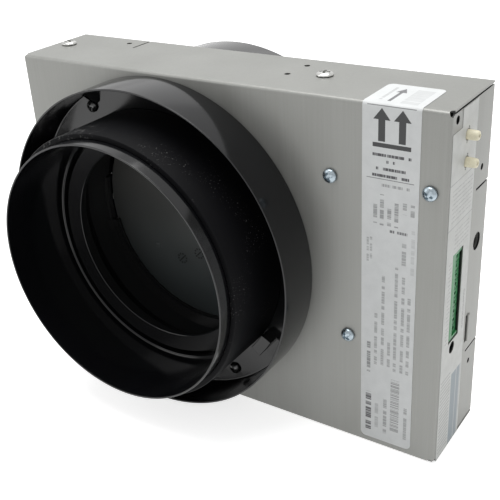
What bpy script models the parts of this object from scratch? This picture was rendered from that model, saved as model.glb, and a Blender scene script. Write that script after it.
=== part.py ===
"""Power damper for a round duct.

A folded sheet-metal case holds a round damper barrel with a turning blade on one side and the
gear motor, limit switches and circuit board on the other. The origin is the middle of the
case's bottom face, +X points at the control side, +Y at the back and +Z up. All in metres.
"""

import math

import bmesh
import bpy
from mathutils import Matrix, Vector

# Clearance between pieces that touch, and of a shaft in its bore, and a cutter's extra length
GAP = 0.0003
RUNNING = 0.0002
OVERCUT = 0.002

# Motor, whose diameter sets the case's depth
MOTOR_RADIUS = 0.0235
MOTOR_FRONT_ROOM = 0.0031
MOTOR_BACK_ROOM = 0.0023
GEARBOX_LENGTH = 0.0062
MOTOR_CAN_LENGTH = 0.0157
EAR_REACH = 0.030
EAR_RADIUS = 0.0042
EAR_THICKNESS = 0.0015

# Case
BOX_DEPTH = MOTOR_FRONT_ROOM + 2 * MOTOR_RADIUS + MOTOR_BACK_ROOM
SHEET = 0.0009
BEND_RADIUS = 0.0018
SEAM = 0.0009
SEAM_BITE = 0.0001
RELIEF_RADIUS = 0.0019
NOTCH_RADIUS = 0.0022
NOTCH_DEPTH = 0.0015
COVER_FLANGE = 0.014
COVER_SLIT_MARGIN = 0.0006
SLIT_WIDTH = 0.0011
SLIT_LENGTH = 0.0159
SLIT_START = BOX_DEPTH - SLIT_LENGTH
SLIT_REACH = 0.046

# Duct connection, the same on the front and the back
TUBE_RADIUS = 0.073
TUBE_WALL = 0.002
TUBE_LENGTH = 0.0536
TUBE_STEP = 0.0015
TUBE_STEP_LENGTH = 0.0106
TUBE_FLANGE_REACH = 0.007
TUBE_FLANGE = TUBE_RADIUS + TUBE_FLANGE_REACH
TUBE_FLANGE_THICKNESS = 0.0012
FOAM_THICKNESS = 0.003
FOAM_SETBACK = 0.008
JACKET_ROOM = 0.0151
COLLAR_WALL = 0.0018
COLLAR_RADIUS = TUBE_RADIUS + FOAM_THICKNESS + JACKET_ROOM + COLLAR_WALL
COLLAR_LENGTH = 0.026
COLLAR_FLOOR = 0.0033
COLLAR_SCREW_MARGIN = 0.004
COLLAR_SCREW_CIRCLE = TUBE_FLANGE + COLLAR_SCREW_MARGIN
COLLAR_SCREW_ANGLES = (120, 30, -60, -150)
COLLAR_PAD_ANGLES = (-36, 144)
PAD_SPREAD = 10
PAD_HEIGHT = 0.0035
GUSSET_TURN = 6
GUSSET_REACH = 0.007
GUSSET_LOW = 0.0035
GUSSET_HEIGHT = 0.010
GUSSET_THICKNESS = 0.0014
RIM_ROUND = 0.0004

# The collars set the case's height and the duct's distance from its left side
COLLAR_TOP_MARGIN = 0.00235
COLLAR_SIDE_MARGIN = 0.0021
BOX_HEIGHT = 2 * (COLLAR_RADIUS + COLLAR_TOP_MARGIN)
DUCT_INSET = COLLAR_RADIUS + COLLAR_SIDE_MARGIN

# Pivot of the blade, from the front face
PIVOT_BACK = 0.0162
PIVOT_DEPTH = BOX_DEPTH - PIVOT_BACK
MOTOR_OFFSET = MOTOR_FRONT_ROOM + MOTOR_RADIUS - PIVOT_DEPTH

# Damper body
SPIGOT_ROOM = 0.0023
SPIGOT_RADIUS = TUBE_RADIUS - TUBE_WALL - TUBE_STEP - SPIGOT_ROOM
SHEET_HOLE_ROOM = 0.0018
SHEET_HOLE = SPIGOT_RADIUS + SHEET_HOLE_ROOM
LIP_LENGTH = 0.0106
LIP_REACH = 0.0098
LIP_RADIUS = SPIGOT_RADIUS - LIP_REACH
LIP_WALL = 0.002
BARREL_ROOM = 0.0006
BARREL_RADIUS = TUBE_RADIUS - BARREL_ROOM
BARREL_WALL = 0.0022
WEB_AHEAD = 0.0112
WEB_FRONT = PIVOT_DEPTH - WEB_AHEAD
WEB_THICKNESS = 0.003
WEB_MARGIN = 0.0011
TAPER_START = 0.002
TAPER_END = 0.010
POST_SIZE = 0.014
POST_INSET = 0.009
POST_REACH = DUCT_INSET - POST_INSET
BOSS_RADIUS = 0.0045
HUB_RADIUS = 0.009
HUB_LENGTH = 0.0136
HUB_REACH = BARREL_RADIUS + HUB_LENGTH
WEB_PAST_HUB = 0.0015
WEB_RIGHT = HUB_REACH + WEB_PAST_HUB
BLADE_CLEARANCE = 0.0012
BLADE_RADIUS = BARREL_RADIUS - BARREL_WALL - BLADE_CLEARANCE
LEDGE_OVERLAP = 0.0025
LEDGE_RADIUS = BLADE_RADIUS - LEDGE_OVERLAP
LEDGE_THICKNESS = 0.002
LEDGE_END = 12
GASKET_THICKNESS = 0.0015

# Blade and shaft
SHAFT_RADIUS = 0.003
BLADE_THICKNESS = 0.0024
BLADE_OFFSET = 0.0036
BLADE_BITE = 0.0008
BLADE_HUB_RADIUS = 0.0058
BLADE_HUB_MARGIN = 0.007
BLADE_HUB_REACH = BLADE_RADIUS - BLADE_HUB_MARGIN
BLADE_RIB = 0.002
BLADE_RIB_HEIGHT = 0.005
BLADE_RIB_END_HEIGHT = 0.00125
BLADE_RIB_MARGIN = 0.008
BLADE_RIB_REACH = BLADE_RADIUS - BLADE_RIB_MARGIN
BLADE_RING_HEIGHT = 0.003
BLADE_RING_RADIUS = 0.045
BLADE_RIB_SPOTS = (0.022, 0.044)
BLADE_EDGE = 0.0004
BLADE_SCREW_REACH = 0.030
PAD_RISE = 0.0008
NUB_SIZE = 0.003
NUB_HEIGHT = 0.0006
SHAFT_END_INSET = 0.002
SHAFT_LEFT = HUB_REACH - SHAFT_END_INSET
BUSH_WALL = 0.0023
BUSH_FLANGE = 0.0076
BUSH_FLANGE_THICKNESS = 0.0016

# Screws: shank radius, head radius, head height, and the share of both at the dome's corners
DOME_TOP = (0.55, 0.92)
DOME_SIDE = (0.9, 0.55)
COLLAR_SCREW = (0.0015, 0.0034, 0.0022)
FACE_SCREW = (0.0017, 0.0037, 0.0026)
TOP_SCREW = (0.0017, 0.0044, 0.0020)
BLADE_SCREW = (0.0013, 0.0026, 0.0016)
COLLAR_SCREW_LENGTH = 0.012
FACE_SCREW_LENGTH = 0.0055
TOP_SCREW_LENGTH = 0.009
BLADE_SCREW_LENGTH = 0.009
MOTOR_SCREW = (0.0015, 0.003, 0.002)
MOTOR_SCREW_LENGTH = 0.0046
TOP_SCREW_BACK = 0.0237
TOP_SCREW_DEPTH = BOX_DEPTH - TOP_SCREW_BACK

# Openings of the top flange, from the duct's axis and from the back face
TOP_SLIT_REACH = 0.0435
TOP_HOLES = ((-0.0525, 0.0084), (0.0689, 0.0113), (0.0672, 0.0281))
TOP_HOLE_RADIUS = 0.0016

# Shaft coupling and its cam, along X from the duct's axis
END_ROOM = 0.0004
COUPLING_START = HUB_REACH + GAP + BUSH_FLANGE_THICKNESS + END_ROOM
COUPLING_LENGTH = 0.0086
COUPLING_END = COUPLING_START + COUPLING_LENGTH
COUPLING_RADIUS = 0.007
SHAFT_GRIP = 0.0037
SHAFT_RIGHT = COUPLING_START + SHAFT_GRIP
CAM_INSET = 0.0032
CAM_WIDTH = 0.004
CAM_START = COUPLING_START + CAM_INSET
CAM_END = CAM_START + CAM_WIDTH
CAM_RADIUS = 0.011
CAM_DROP = 0.00105

# Limit switches, in the pivot's frame
BRACKET_START = COUPLING_END + END_ROOM
SWITCH_WIDTH = 0.006
SWITCH_START = BRACKET_START - GAP - SWITCH_WIDTH
SWITCH_FRONT = -0.012
SWITCH_BACK = 0.008
SWITCH_HEIGHT = 0.0098
LEVER_ROOM = 0.0004
LOWER_LEVER_ROOM = 0.00205
LEVER_THICKNESS = 0.0005
LEVER_PIVOT = -0.010
LEVER_TIP = 0.006
LEVER_PIN_RADIUS = 0.00045
CHEEK = 0.0007
CHEEK_LENGTH = 0.003

# Face screws: across from the bracket's start or from the right wall, and up from the axis
LEFT_SCREW_PLACE = (0.0069, 0.05645)
LOW_SCREW_PLACE = (0.0162, -0.02995)
RIGHT_SCREW_REACH = (0.0073, 0.05675)
LEFT_SCREW_REACH = (BRACKET_START + LEFT_SCREW_PLACE[0], LEFT_SCREW_PLACE[1])
LOW_SCREW_REACH = (BRACKET_START + LOW_SCREW_PLACE[0], LOW_SCREW_PLACE[1])

# Motor bracket, along X from the duct's axis
BRACKET_SHEET = 0.0012
BRACKET_EAR_MARGIN = 0.006
BRACKET_HALF = EAR_REACH + BRACKET_EAR_MARGIN
BRACKET_BACK_ROOM = 0.002
BRACKET_DEPTH = BOX_DEPTH - 2 * (SHEET + GAP) - BRACKET_BACK_ROOM
BRACKET_HOLE = 0.006
FOOT_PAST_SCREW = 0.0055
FOOT_LENGTH = LOW_SCREW_PLACE[0] + FOOT_PAST_SCREW
FOOT_END_MARGIN = 0.0075
FOOT_LOW = LOW_SCREW_PLACE[1] - FOOT_END_MARGIN
FOOT_HIGH = LEFT_SCREW_PLACE[1] + FOOT_END_MARGIN
MOTOR_SHAFT_START = SHAFT_RIGHT + 2 * GAP
MOTOR_SHAFT_LENGTH = 0.0094
MOTOR_START = BRACKET_START + BRACKET_SHEET + GAP
MOTOR_END = MOTOR_START + GEARBOX_LENGTH + GAP + MOTOR_CAN_LENGTH

# Board and what it carries, inwards from the right wall's inner face
MOTOR_END_ROOM = 0.0178
CARRIER_INSET = 0.0223
CARRIER_THICKNESS = 0.001
CARRIER_FRONT = 0.0017
CARRIER_BACK_ROOM = 0.0062
CARRIER_BACK = BOX_DEPTH - CARRIER_BACK_ROOM
CARRIER_LOW = 0.028
CARRIER_TOP_MARGIN = 0.0045
CARRIER_REACH = MOTOR_END + MOTOR_END_ROOM + CARRIER_THICKNESS
BOX_WIDTH = DUCT_INSET + CARRIER_REACH + CARRIER_INSET + SHEET
TAB_PAST_SCREW = 0.0052
TAB_LENGTH = CARRIER_INSET - RIGHT_SCREW_REACH[0] + TAB_PAST_SCREW
TAB_HEIGHT = 0.016
TAB_LOW = RIGHT_SCREW_REACH[1] - TAB_HEIGHT / 2
TAB_DEPTH = SHEET + GAP
SPACER_LENGTH = 0.004
SPACER_RADIUS = 0.0026
SPACER_PIN = 0.0013
SPACER_INSET = 0.005
BOARD_THICKNESS = 0.0016
BOARD_MARGIN = 0.001
BOARD_FRONT = CARRIER_FRONT + BOARD_MARGIN
BOARD_BACK = CARRIER_BACK - BOARD_MARGIN
BOARD_END_MARGIN = 0.002
BOARD_LOW = CARRIER_LOW + BOARD_END_MARGIN
BOARD_TOP_MARGIN = CARRIER_TOP_MARGIN + BOARD_END_MARGIN
POLES = 9
POLE_PITCH = 0.00508
PLUG_END_WALL = 0.0015
PLUG_BELOW = 0.02675
PLUG_LOW = BOX_HEIGHT / 2 - PLUG_BELOW
PLUG_DEPTH = 0.0169
PLUG_WIDTH = 0.0118
PLUG_CLEARANCE = 0.0008
PLUG_SETBACK = 0.0003
PLUG_LENGTH = 0.0107
PLUG_STEP = 0.0022
PLUG_STEP_DEPTH = 0.0045
WIRE_HOLE_RADIUS = 0.0014
WIRE_HOLE_OFFSET = 0.0028
PIN_RADIUS = 0.0005
PIN_LENGTH = 0.005
SENSOR_HEIGHT = 0.0067
SENSOR_WIDTH = 0.018
SENSOR_MARGIN = 0.0057
NIPPLE_RADIUS = 0.0016
NIPPLE_LENGTH = 0.005
PORT_DEPTH = 0.0203
PORT_TOP_INSET = 0.016
PORT_PITCH = 0.0131
PORT_RADIUS = 0.0024
PORT_BORE = 0.0019
PORT_MOUTH = 0.0008
PORT_INNER_LENGTH = 0.0061
PORT_REACH = 0.0056
PORT_FLANGE_RADIUS = PORT_RADIUS + 0.0008
PORT_FLANGE_THICKNESS = 0.0014
PORT_HOLE = PORT_RADIUS + GAP
PORT_PIN_HOLE = 0.0005
PORT_PIN_BACK = 0.0010
PORT_PIN_RISE = 0.0034
RELAY_SIZE = (0.0105, 0.013, 0.018)
RELAY_PLACE = (0.0170, 0.0285)
CAPACITOR_RADIUS = 0.004
CAPACITOR_LENGTH = 0.0115
CAPACITOR_SPACING = 0.012
CAPACITOR_RISE = 0.0345
CAPACITOR_PLACE = (RELAY_PLACE[0] + RELAY_SIZE[1] / 2 + CAPACITOR_SPACING, CAPACITOR_RISE)

# Openings of the right flange, all below the top or from the bottom, and from a face
CORNER_HOLE = (0.0071, 0.0053, 0.0020)
UPPER_HOLE = (0.0099, 0.0395, 0.0017)
LOWER_HOLE = (0.0100, 0.0400, 0.0015)
CABLE_HOLE = (0.0101, 0.01615, 0.0047)
PLUG_HOLE = (0.0156, 0.0046, 0.0033)
SIDE_HOLES = (
    (CORNER_HOLE[0], BOX_HEIGHT - CORNER_HOLE[1], CORNER_HOLE[2]),
    (BOX_DEPTH - UPPER_HOLE[0], BOX_HEIGHT - UPPER_HOLE[1], UPPER_HOLE[2]),
    (BOX_DEPTH - LOWER_HOLE[0], LOWER_HOLE[1], LOWER_HOLE[2]),
    (BOX_DEPTH - CABLE_HOLE[0], BOX_HEIGHT / 2 + CABLE_HOLE[1], CABLE_HOLE[2]),
    (PLUG_HOLE[0], PLUG_LOW - PLUG_HOLE[1], PLUG_HOLE[2]),
)
TIE_SLOT_BACK = 0.0174
TIE_SLOT_DEPTH = BOX_DEPTH - TIE_SLOT_BACK
TIE_SLOT_WIDTH = 0.0016
TIE_SLOT_LENGTH = 0.0163
TIE_SLOT_BELOW = 0.02325
TIE_SLOT_HIGH = BOX_HEIGHT / 2 - TIE_SLOT_BELOW
TIE_SLOT_LOW = TIE_SLOT_HIGH - TIE_SLOT_LENGTH
TIE_BRIDGE_SETBACK = 0.0002
TIE_BRIDGE_WIDTH = 0.0028
TIE_BRIDGE_RISE = 0.0009

# Facets round a duct ring, a shaft or boss, and a screw
RING_STEPS = 48
ROUND_STEPS = 16
SCREW_STEPS = 12

FRONT_Y = -BOX_DEPTH / 2
BACK_Y = BOX_DEPTH / 2
DUCT_X = DUCT_INSET - BOX_WIDTH / 2
DUCT_Z = BOX_HEIGHT / 2
PIVOT_Y = FRONT_Y + PIVOT_DEPTH
TUBE_BORE = TUBE_RADIUS - TUBE_WALL
WEB_BACK = WEB_FRONT + WEB_THICKNESS
WALL_X = BOX_WIDTH / 2 - SHEET
BOARD_X = WALL_X - CARRIER_INSET + GAP + SPACER_LENGTH + GAP + BOARD_THICKNESS
PLUG_Y = FRONT_Y + PLUG_DEPTH
PLUG_HIGH = PLUG_LOW + POLES * POLE_PITCH + 2 * PLUG_END_WALL
PORT_Y = FRONT_Y + PORT_DEPTH
PORT_HEIGHTS = (BOX_HEIGHT - PORT_TOP_INSET, BOX_HEIGHT - PORT_TOP_INSET - PORT_PITCH)
PORT_HOLES = tuple((PORT_DEPTH, z, PORT_HOLE) for z in PORT_HEIGHTS)
PORT_PIN_HOLES = tuple(
    (PORT_DEPTH + side * PORT_PIN_BACK, z + side * PORT_PIN_RISE, PORT_PIN_HOLE)
    for z in PORT_HEIGHTS for side in (-1, 1)
)
FACE_SCREWS = {
    "face_screw_upper_left": (DUCT_X + LEFT_SCREW_REACH[0], DUCT_Z + LEFT_SCREW_REACH[1]),
    "face_screw_upper_right": (WALL_X - RIGHT_SCREW_REACH[0], DUCT_Z + RIGHT_SCREW_REACH[1]),
    "face_screw_lower": (DUCT_X + LOW_SCREW_REACH[0], DUCT_Z + LOW_SCREW_REACH[1]),
}


def clear_scene():
    for old in list(bpy.data.objects):
        bpy.data.objects.remove(old)


clear_scene()
MODEL = bpy.data.collections.new("power_damper")
CUTTERS = bpy.data.collections.new("power_damper_cutters")
bpy.context.scene.collection.children.link(MODEL)
bpy.context.scene.collection.children.link(CUTTERS)


# Materials

def make_material(name, colour, roughness, metallic=0.0):
    material = bpy.data.materials.new(name)
    material.use_nodes = True
    shader = material.node_tree.nodes["Principled BSDF"]
    shader.inputs["Base Color"].default_value = (*colour, 1.0)
    shader.inputs["Roughness"].default_value = roughness
    shader.inputs["Metallic"].default_value = metallic
    return material


GALVANISED = make_material("galvanised_steel", (0.56, 0.56, 0.54), 0.42, 0.9)
BLACK_PLASTIC = make_material("black_plastic", (0.018, 0.018, 0.019), 0.28)
BLADE_PLASTIC = make_material("blade_plastic", (0.035, 0.036, 0.038), 0.5)
BLACK_FOAM = make_material("black_foam", (0.012, 0.012, 0.012), 0.95)
BLACK_SCREW = make_material("black_screw", (0.05, 0.05, 0.05), 0.4, 0.8)
ZINC = make_material("blue_zinc", (0.62, 0.68, 0.74), 0.25, 1.0)
STEEL = make_material("bright_steel", (0.7, 0.7, 0.69), 0.25, 1.0)
WHITE_NYLON = make_material("white_nylon", (0.82, 0.82, 0.78), 0.45)
IVORY = make_material("ivory_plastic", (0.84, 0.78, 0.60), 0.4)
GREEN = make_material("green_plastic", (0.05, 0.42, 0.20), 0.4)
BOARD = make_material("board_laminate", (0.03, 0.20, 0.10), 0.4)
BLUE = make_material("blue_plastic", (0.06, 0.16, 0.45), 0.35)
GREY = make_material("grey_plastic", (0.35, 0.36, 0.37), 0.5)


# Frames that the pieces are placed in

def make_frame(name, location, rotation=(0.0, 0.0, 0.0)):
    frame = bpy.data.objects.new(name, None)
    frame.location = location
    frame.rotation_euler = rotation
    MODEL.objects.link(frame)
    return frame


QUARTER = math.pi / 2
FRONT_DUCT = make_frame("front_duct_frame", (DUCT_X, FRONT_Y, DUCT_Z), (QUARTER, 0, 0))
REAR_DUCT = make_frame("rear_duct_frame", (DUCT_X, BACK_Y, DUCT_Z), (-QUARTER, 0, 0))
PIVOT = make_frame("blade_pivot", (DUCT_X, PIVOT_Y, DUCT_Z))


# Modelling helpers

def add_object(name, mesh, location=(0, 0, 0), rotation=(0, 0, 0), parent=None):
    piece = bpy.data.objects.new(name, mesh)
    piece.location = location
    piece.rotation_euler = rotation
    piece.parent = parent
    MODEL.objects.link(piece)
    return piece


def mesh_from(name, build):
    mesh = bpy.data.meshes.new(name)
    work = bmesh.new()
    build(work)
    work.to_mesh(mesh)
    work.free()
    return mesh


def bake(piece):
    """Turn a piece's modifiers into its mesh."""
    bpy.context.view_layer.update()
    graph = bpy.context.evaluated_depsgraph_get()
    mesh = bpy.data.meshes.new_from_object(piece.evaluated_get(graph))
    piece.modifiers.clear()
    piece.data = mesh
    return piece


def block(name, low, high, parent=None, bevel=0.0, segments=2):
    """A box between two corners, with rounded edges where bevel is given."""
    low, high = Vector(low), Vector(high)
    size = high - low

    def build(work):
        bmesh.ops.create_cube(work, size=1.0, matrix=Matrix.Diagonal((*size, 1.0)))

    piece = add_object(name, mesh_from(name, build), (low + high) / 2, parent=parent)
    if bevel:
        rounding = piece.modifiers.new("Bevel", "BEVEL")
        rounding.width = bevel
        rounding.segments = segments
        bake(piece)
    return piece


def turn_to(axis):
    """Rotation that takes local +Z to the given axis."""
    return Vector((0, 0, 1)).rotation_difference(Vector(axis)).to_euler()


def rod(name, radius, start, end, sides=ROUND_STEPS, parent=None):
    """A cylinder from one point to another."""
    start, end = Vector(start), Vector(end)
    length = (end - start).length

    def build(work):
        bmesh.ops.create_cone(
            work, cap_ends=True, segments=sides, radius1=radius, radius2=radius, depth=length
        )

    return add_object(
        name, mesh_from(name, build), (start + end) / 2, turn_to(end - start), parent
    )


def ball(name, radius, centre, parent=None):
    def build(work):
        bmesh.ops.create_uvsphere(work, u_segments=12, v_segments=8, radius=radius)

    return add_object(name, mesh_from(name, build), centre, parent=parent)


def turned(name, profile, closed=True, steps=RING_STEPS, location=(0, 0, 0), axis=(0, 0, 1),
           parent=None):
    """A profile of (radius, height) points, run down the outer side, turned about its axis."""
    mesh = bpy.data.meshes.new(name)
    points = [(radius, 0.0, height) for radius, height in profile]
    edges = [(i, i + 1) for i in range(len(points) - 1)]
    if closed:
        edges.append((len(points) - 1, 0))
    mesh.from_pydata(points, edges, [])
    piece = add_object(name, mesh, location, turn_to(axis), parent)
    screw = piece.modifiers.new("Screw", "SCREW")
    screw.axis = "Z"
    screw.angle = math.tau
    screw.steps = steps
    screw.render_steps = steps
    screw.use_merge_vertices = True
    screw.merge_threshold = 0.00005
    return bake(piece)


def plate(name, points, thickness, location=(0, 0, 0), rotation=(0, 0, 0), parent=None):
    """A flat outline in local XY, as thick as given, centred on its plane."""
    curve = bpy.data.curves.new(name, "CURVE")
    curve.dimensions = "2D"
    curve.fill_mode = "BOTH"
    curve.extrude = thickness / 2
    spline = curve.splines.new("POLY")
    spline.points.add(len(points) - 1)
    for point, (x, y) in zip(spline.points, points):
        point.co = (x, y, 0.0, 1.0)
    spline.use_cyclic_u = True
    drawn = add_object(name + "_outline", curve, location, rotation, parent)
    bpy.context.view_layer.update()
    graph = bpy.context.evaluated_depsgraph_get()
    mesh = bpy.data.meshes.new_from_object(drawn.evaluated_get(graph))
    bpy.data.objects.remove(drawn)
    work = bmesh.new()
    work.from_mesh(mesh)
    bmesh.ops.remove_doubles(work, verts=work.verts, dist=0.00001)
    bmesh.ops.recalc_face_normals(work, faces=work.faces)
    work.to_mesh(mesh)
    work.free()
    return add_object(name, mesh, location, rotation, parent)


def arc_ring(name, inner, outer, low, high, start, end, parent=None, steps=18):
    """Part of a flat ring between two angles in degrees, from height low to high."""
    angles = [math.radians(start + (end - start) * i / steps) for i in range(steps + 1)]
    outside = [(outer * math.cos(a), outer * math.sin(a)) for a in angles]
    inside = [(inner * math.cos(a), inner * math.sin(a)) for a in reversed(angles)]
    middle = (0, 0, (low + high) / 2)
    return plate(name, outside + inside, high - low, middle, parent=parent)


def combine(piece, tools, operation):
    """Join the tools to a piece, or cut them from it, in one step, and remove them."""
    for tool in tools:
        MODEL.objects.unlink(tool)
        CUTTERS.objects.link(tool)
        tool.hide_render = True
        tool.display_type = "WIRE"
    boolean = piece.modifiers.new("Boolean", "BOOLEAN")
    boolean.operation = operation
    boolean.solver = "EXACT"
    boolean.operand_type = "COLLECTION"
    boolean.collection = CUTTERS
    bake(piece)
    for tool in tools:
        bpy.data.objects.remove(tool)
    return piece


def join(piece, *tools):
    return combine(piece, tools, "UNION")


def cut(piece, *tools):
    return combine(piece, tools, "DIFFERENCE")


def finish(piece, material):
    piece.data.materials.clear()
    piece.data.materials.append(material)
    piece.data.shade_smooth()
    piece.data.set_sharp_from_angle(angle=math.radians(34))
    return piece


def polar(radius, degrees):
    angle = math.radians(degrees)
    return radius * math.cos(angle), radius * math.sin(angle)


# Case

def tray(name, low, high, back_open):
    """A folded sheet tray, open at the back or at the front, with bends round its face."""
    shell = block(name, low, high)
    side = 1 if back_open else -1
    work = bmesh.new()
    work.from_mesh(shell.data)
    opening = [face for face in work.faces if face.normal.y * side > 0.5]
    bmesh.ops.delete(work, geom=opening, context="FACES")
    bends = [edge for edge in work.edges if all(v.co.y * side < 0 for v in edge.verts)]
    bmesh.ops.bevel(
        work, geom=bends, offset=BEND_RADIUS, segments=3, profile=0.5, affect="EDGES"
    )
    work.to_mesh(shell.data)
    work.free()
    wall = shell.modifiers.new("Solidify", "SOLIDIFY")
    wall.thickness = SHEET
    wall.offset = -1
    wall.use_even_offset = True
    return bake(shell)


def collar_screw_spots(frame):
    """Places of the four collar screws in a duct frame; the rear frame is the front's mirror."""
    turn = -1 if frame is REAR_DUCT else 1
    return [polar(COLLAR_SCREW_CIRCLE, turn * degrees) for degrees in COLLAR_SCREW_ANGLES]


def collar_hole_tools(frame, low, high):
    """Cutters for the four collar screws, between two heights in a duct frame."""
    shank = COLLAR_SCREW[0] + RUNNING
    return [
        rod("hole", shank, (x, y, low), (x, y, high), SCREW_STEPS, frame)
        for x, y in collar_screw_spots(frame)
    ]


def side_hole_tools(low_x, high_x, holes):
    """Cutters through a side flange at (depth from the front, height, radius)."""
    return [
        rod("hole", radius, (low_x, FRONT_Y + depth, z), (high_x, FRONT_Y + depth, z))
        for depth, z, radius in holes
    ]


def make_front_shell():
    half = BOX_WIDTH / 2
    over = OVERCUT
    shell = tray("front_shell", (-half, FRONT_Y, 0), (half, BACK_Y, BOX_HEIGHT), True)
    tools = [rod("duct_hole", SHEET_HOLE, (0, 0, over), (0, 0, -SHEET - over),
                 RING_STEPS, FRONT_DUCT)]
    tools += collar_hole_tools(FRONT_DUCT, -SHEET - over, over)
    for x, z in FACE_SCREWS.values():
        tools.append(rod("hole", FACE_SCREW[0] + RUNNING, (x, FRONT_Y - over, z),
                         (x, FRONT_Y + SHEET + over, z), SCREW_STEPS))
    for side in (-1, 1):
        x, y = DUCT_X + side * POST_REACH, FRONT_Y + TOP_SCREW_DEPTH
        tools.append(rod("hole", TOP_SCREW[0] + RUNNING, (x, y, BOX_HEIGHT - SHEET - over),
                         (x, y, BOX_HEIGHT + over), SCREW_STEPS))
    inner, outer = half - SHEET - over, half + over
    tools += side_hole_tools(inner, outer, SIDE_HOLES + PORT_HOLES + PORT_PIN_HOLES)
    tools.append(block(
        "terminal_opening",
        (inner, PLUG_Y - PLUG_WIDTH / 2 - PLUG_CLEARANCE, PLUG_LOW - PLUG_CLEARANCE),
        (outer, PLUG_Y + PLUG_WIDTH / 2 + PLUG_CLEARANCE, PLUG_HIGH + PLUG_CLEARANCE),
    ))
    slot_y = FRONT_Y + TIE_SLOT_DEPTH
    tools.append(block("tie_slot", (inner, slot_y - TIE_SLOT_WIDTH / 2, TIE_SLOT_LOW),
                       (outer, slot_y + TIE_SLOT_WIDTH / 2, TIE_SLOT_HIGH)))
    for side in (-1, 1):
        edges = sorted((side * inner, side * outer))
        for level in (-SLIT_REACH, SLIT_REACH):
            z = DUCT_Z + level
            tools.append(block("slit", (edges[0], FRONT_Y + SLIT_START, z - SLIT_WIDTH / 2),
                               (edges[1], BACK_Y + over, z + SLIT_WIDTH / 2)))
        seam = sorted((side * (half - SHEET - SEAM), side * outer))
        for low_z in (BOX_HEIGHT - SHEET - SEAM, SHEET - SEAM_BITE):
            tools.append(block("seam", (seam[0], FRONT_Y + 2 * BEND_RADIUS, low_z),
                               (seam[1], BACK_Y + over, low_z + SEAM + SEAM_BITE)))
        for z in (SHEET, BOX_HEIGHT - SHEET):
            tools.append(ball("relief", RELIEF_RADIUS, (side * half, FRONT_Y + BEND_RADIUS, z)))
        notch_x = side * (half - NOTCH_RADIUS)
        tools.append(rod("notch", NOTCH_RADIUS, (notch_x, FRONT_Y - over, 0),
                         (notch_x, FRONT_Y + NOTCH_DEPTH, 0)))
    slit_x = DUCT_X - TOP_SLIT_REACH
    for z in (0, BOX_HEIGHT):
        tools.append(block("slit", (slit_x - SLIT_WIDTH / 2, FRONT_Y + SLIT_START, z - over),
                           (slit_x + SLIT_WIDTH / 2, BACK_Y + over, z + over)))
    for reach, back in TOP_HOLES:
        x, y = DUCT_X + reach, BACK_Y - back
        tools.append(rod("hole", TOP_HOLE_RADIUS, (x, y, BOX_HEIGHT - SHEET - over),
                         (x, y, BOX_HEIGHT + over), SCREW_STEPS))
    cut(shell, *tools)
    bridge_y = slot_y + TIE_SLOT_WIDTH / 2 + TIE_BRIDGE_SETBACK
    join(shell, block("tie_bridge", (half - SHEET / 2, bridge_y, TIE_SLOT_LOW),
                      (half + TIE_BRIDGE_RISE, bridge_y + TIE_BRIDGE_WIDTH, TIE_SLOT_HIGH)))
    finish(shell, GALVANISED)


def make_rear_cover():
    inside = SHEET + GAP
    half = BOX_WIDTH / 2 - inside
    over = OVERCUT
    cover = tray("rear_cover", (-half, BACK_Y - COVER_FLANGE, inside),
                 (half, BACK_Y, BOX_HEIGHT - inside), False)
    tools = [rod("duct_hole", SHEET_HOLE, (0, 0, over), (0, 0, -SHEET - over),
                 RING_STEPS, REAR_DUCT)]
    tools += collar_hole_tools(REAR_DUCT, -SHEET - over, over)
    hidden = BOX_DEPTH - COVER_FLANGE
    behind = [hole for hole in SIDE_HOLES if hole[0] > hidden]
    tools += side_hole_tools(half - SHEET - over, half + over, behind)
    width = SLIT_WIDTH + 2 * COVER_SLIT_MARGIN
    front, back = BACK_Y - COVER_FLANGE - over, BACK_Y - 2 * BEND_RADIUS
    for side in (-1, 1):
        edges = sorted((side * (half - SHEET - over), side * (half + over)))
        for level in (-SLIT_REACH, SLIT_REACH):
            z = DUCT_Z + level
            tools.append(block("slit", (edges[0], front, z - width / 2),
                               (edges[1], back, z + width / 2)))
    slit_x = DUCT_X - TOP_SLIT_REACH
    for z in (inside, BOX_HEIGHT - inside):
        tools.append(block("slit", (slit_x - width / 2, front, z - over),
                           (slit_x + width / 2, back, z + over)))
    cut(cover, *tools)
    finish(cover, GALVANISED)


# Duct connections

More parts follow.
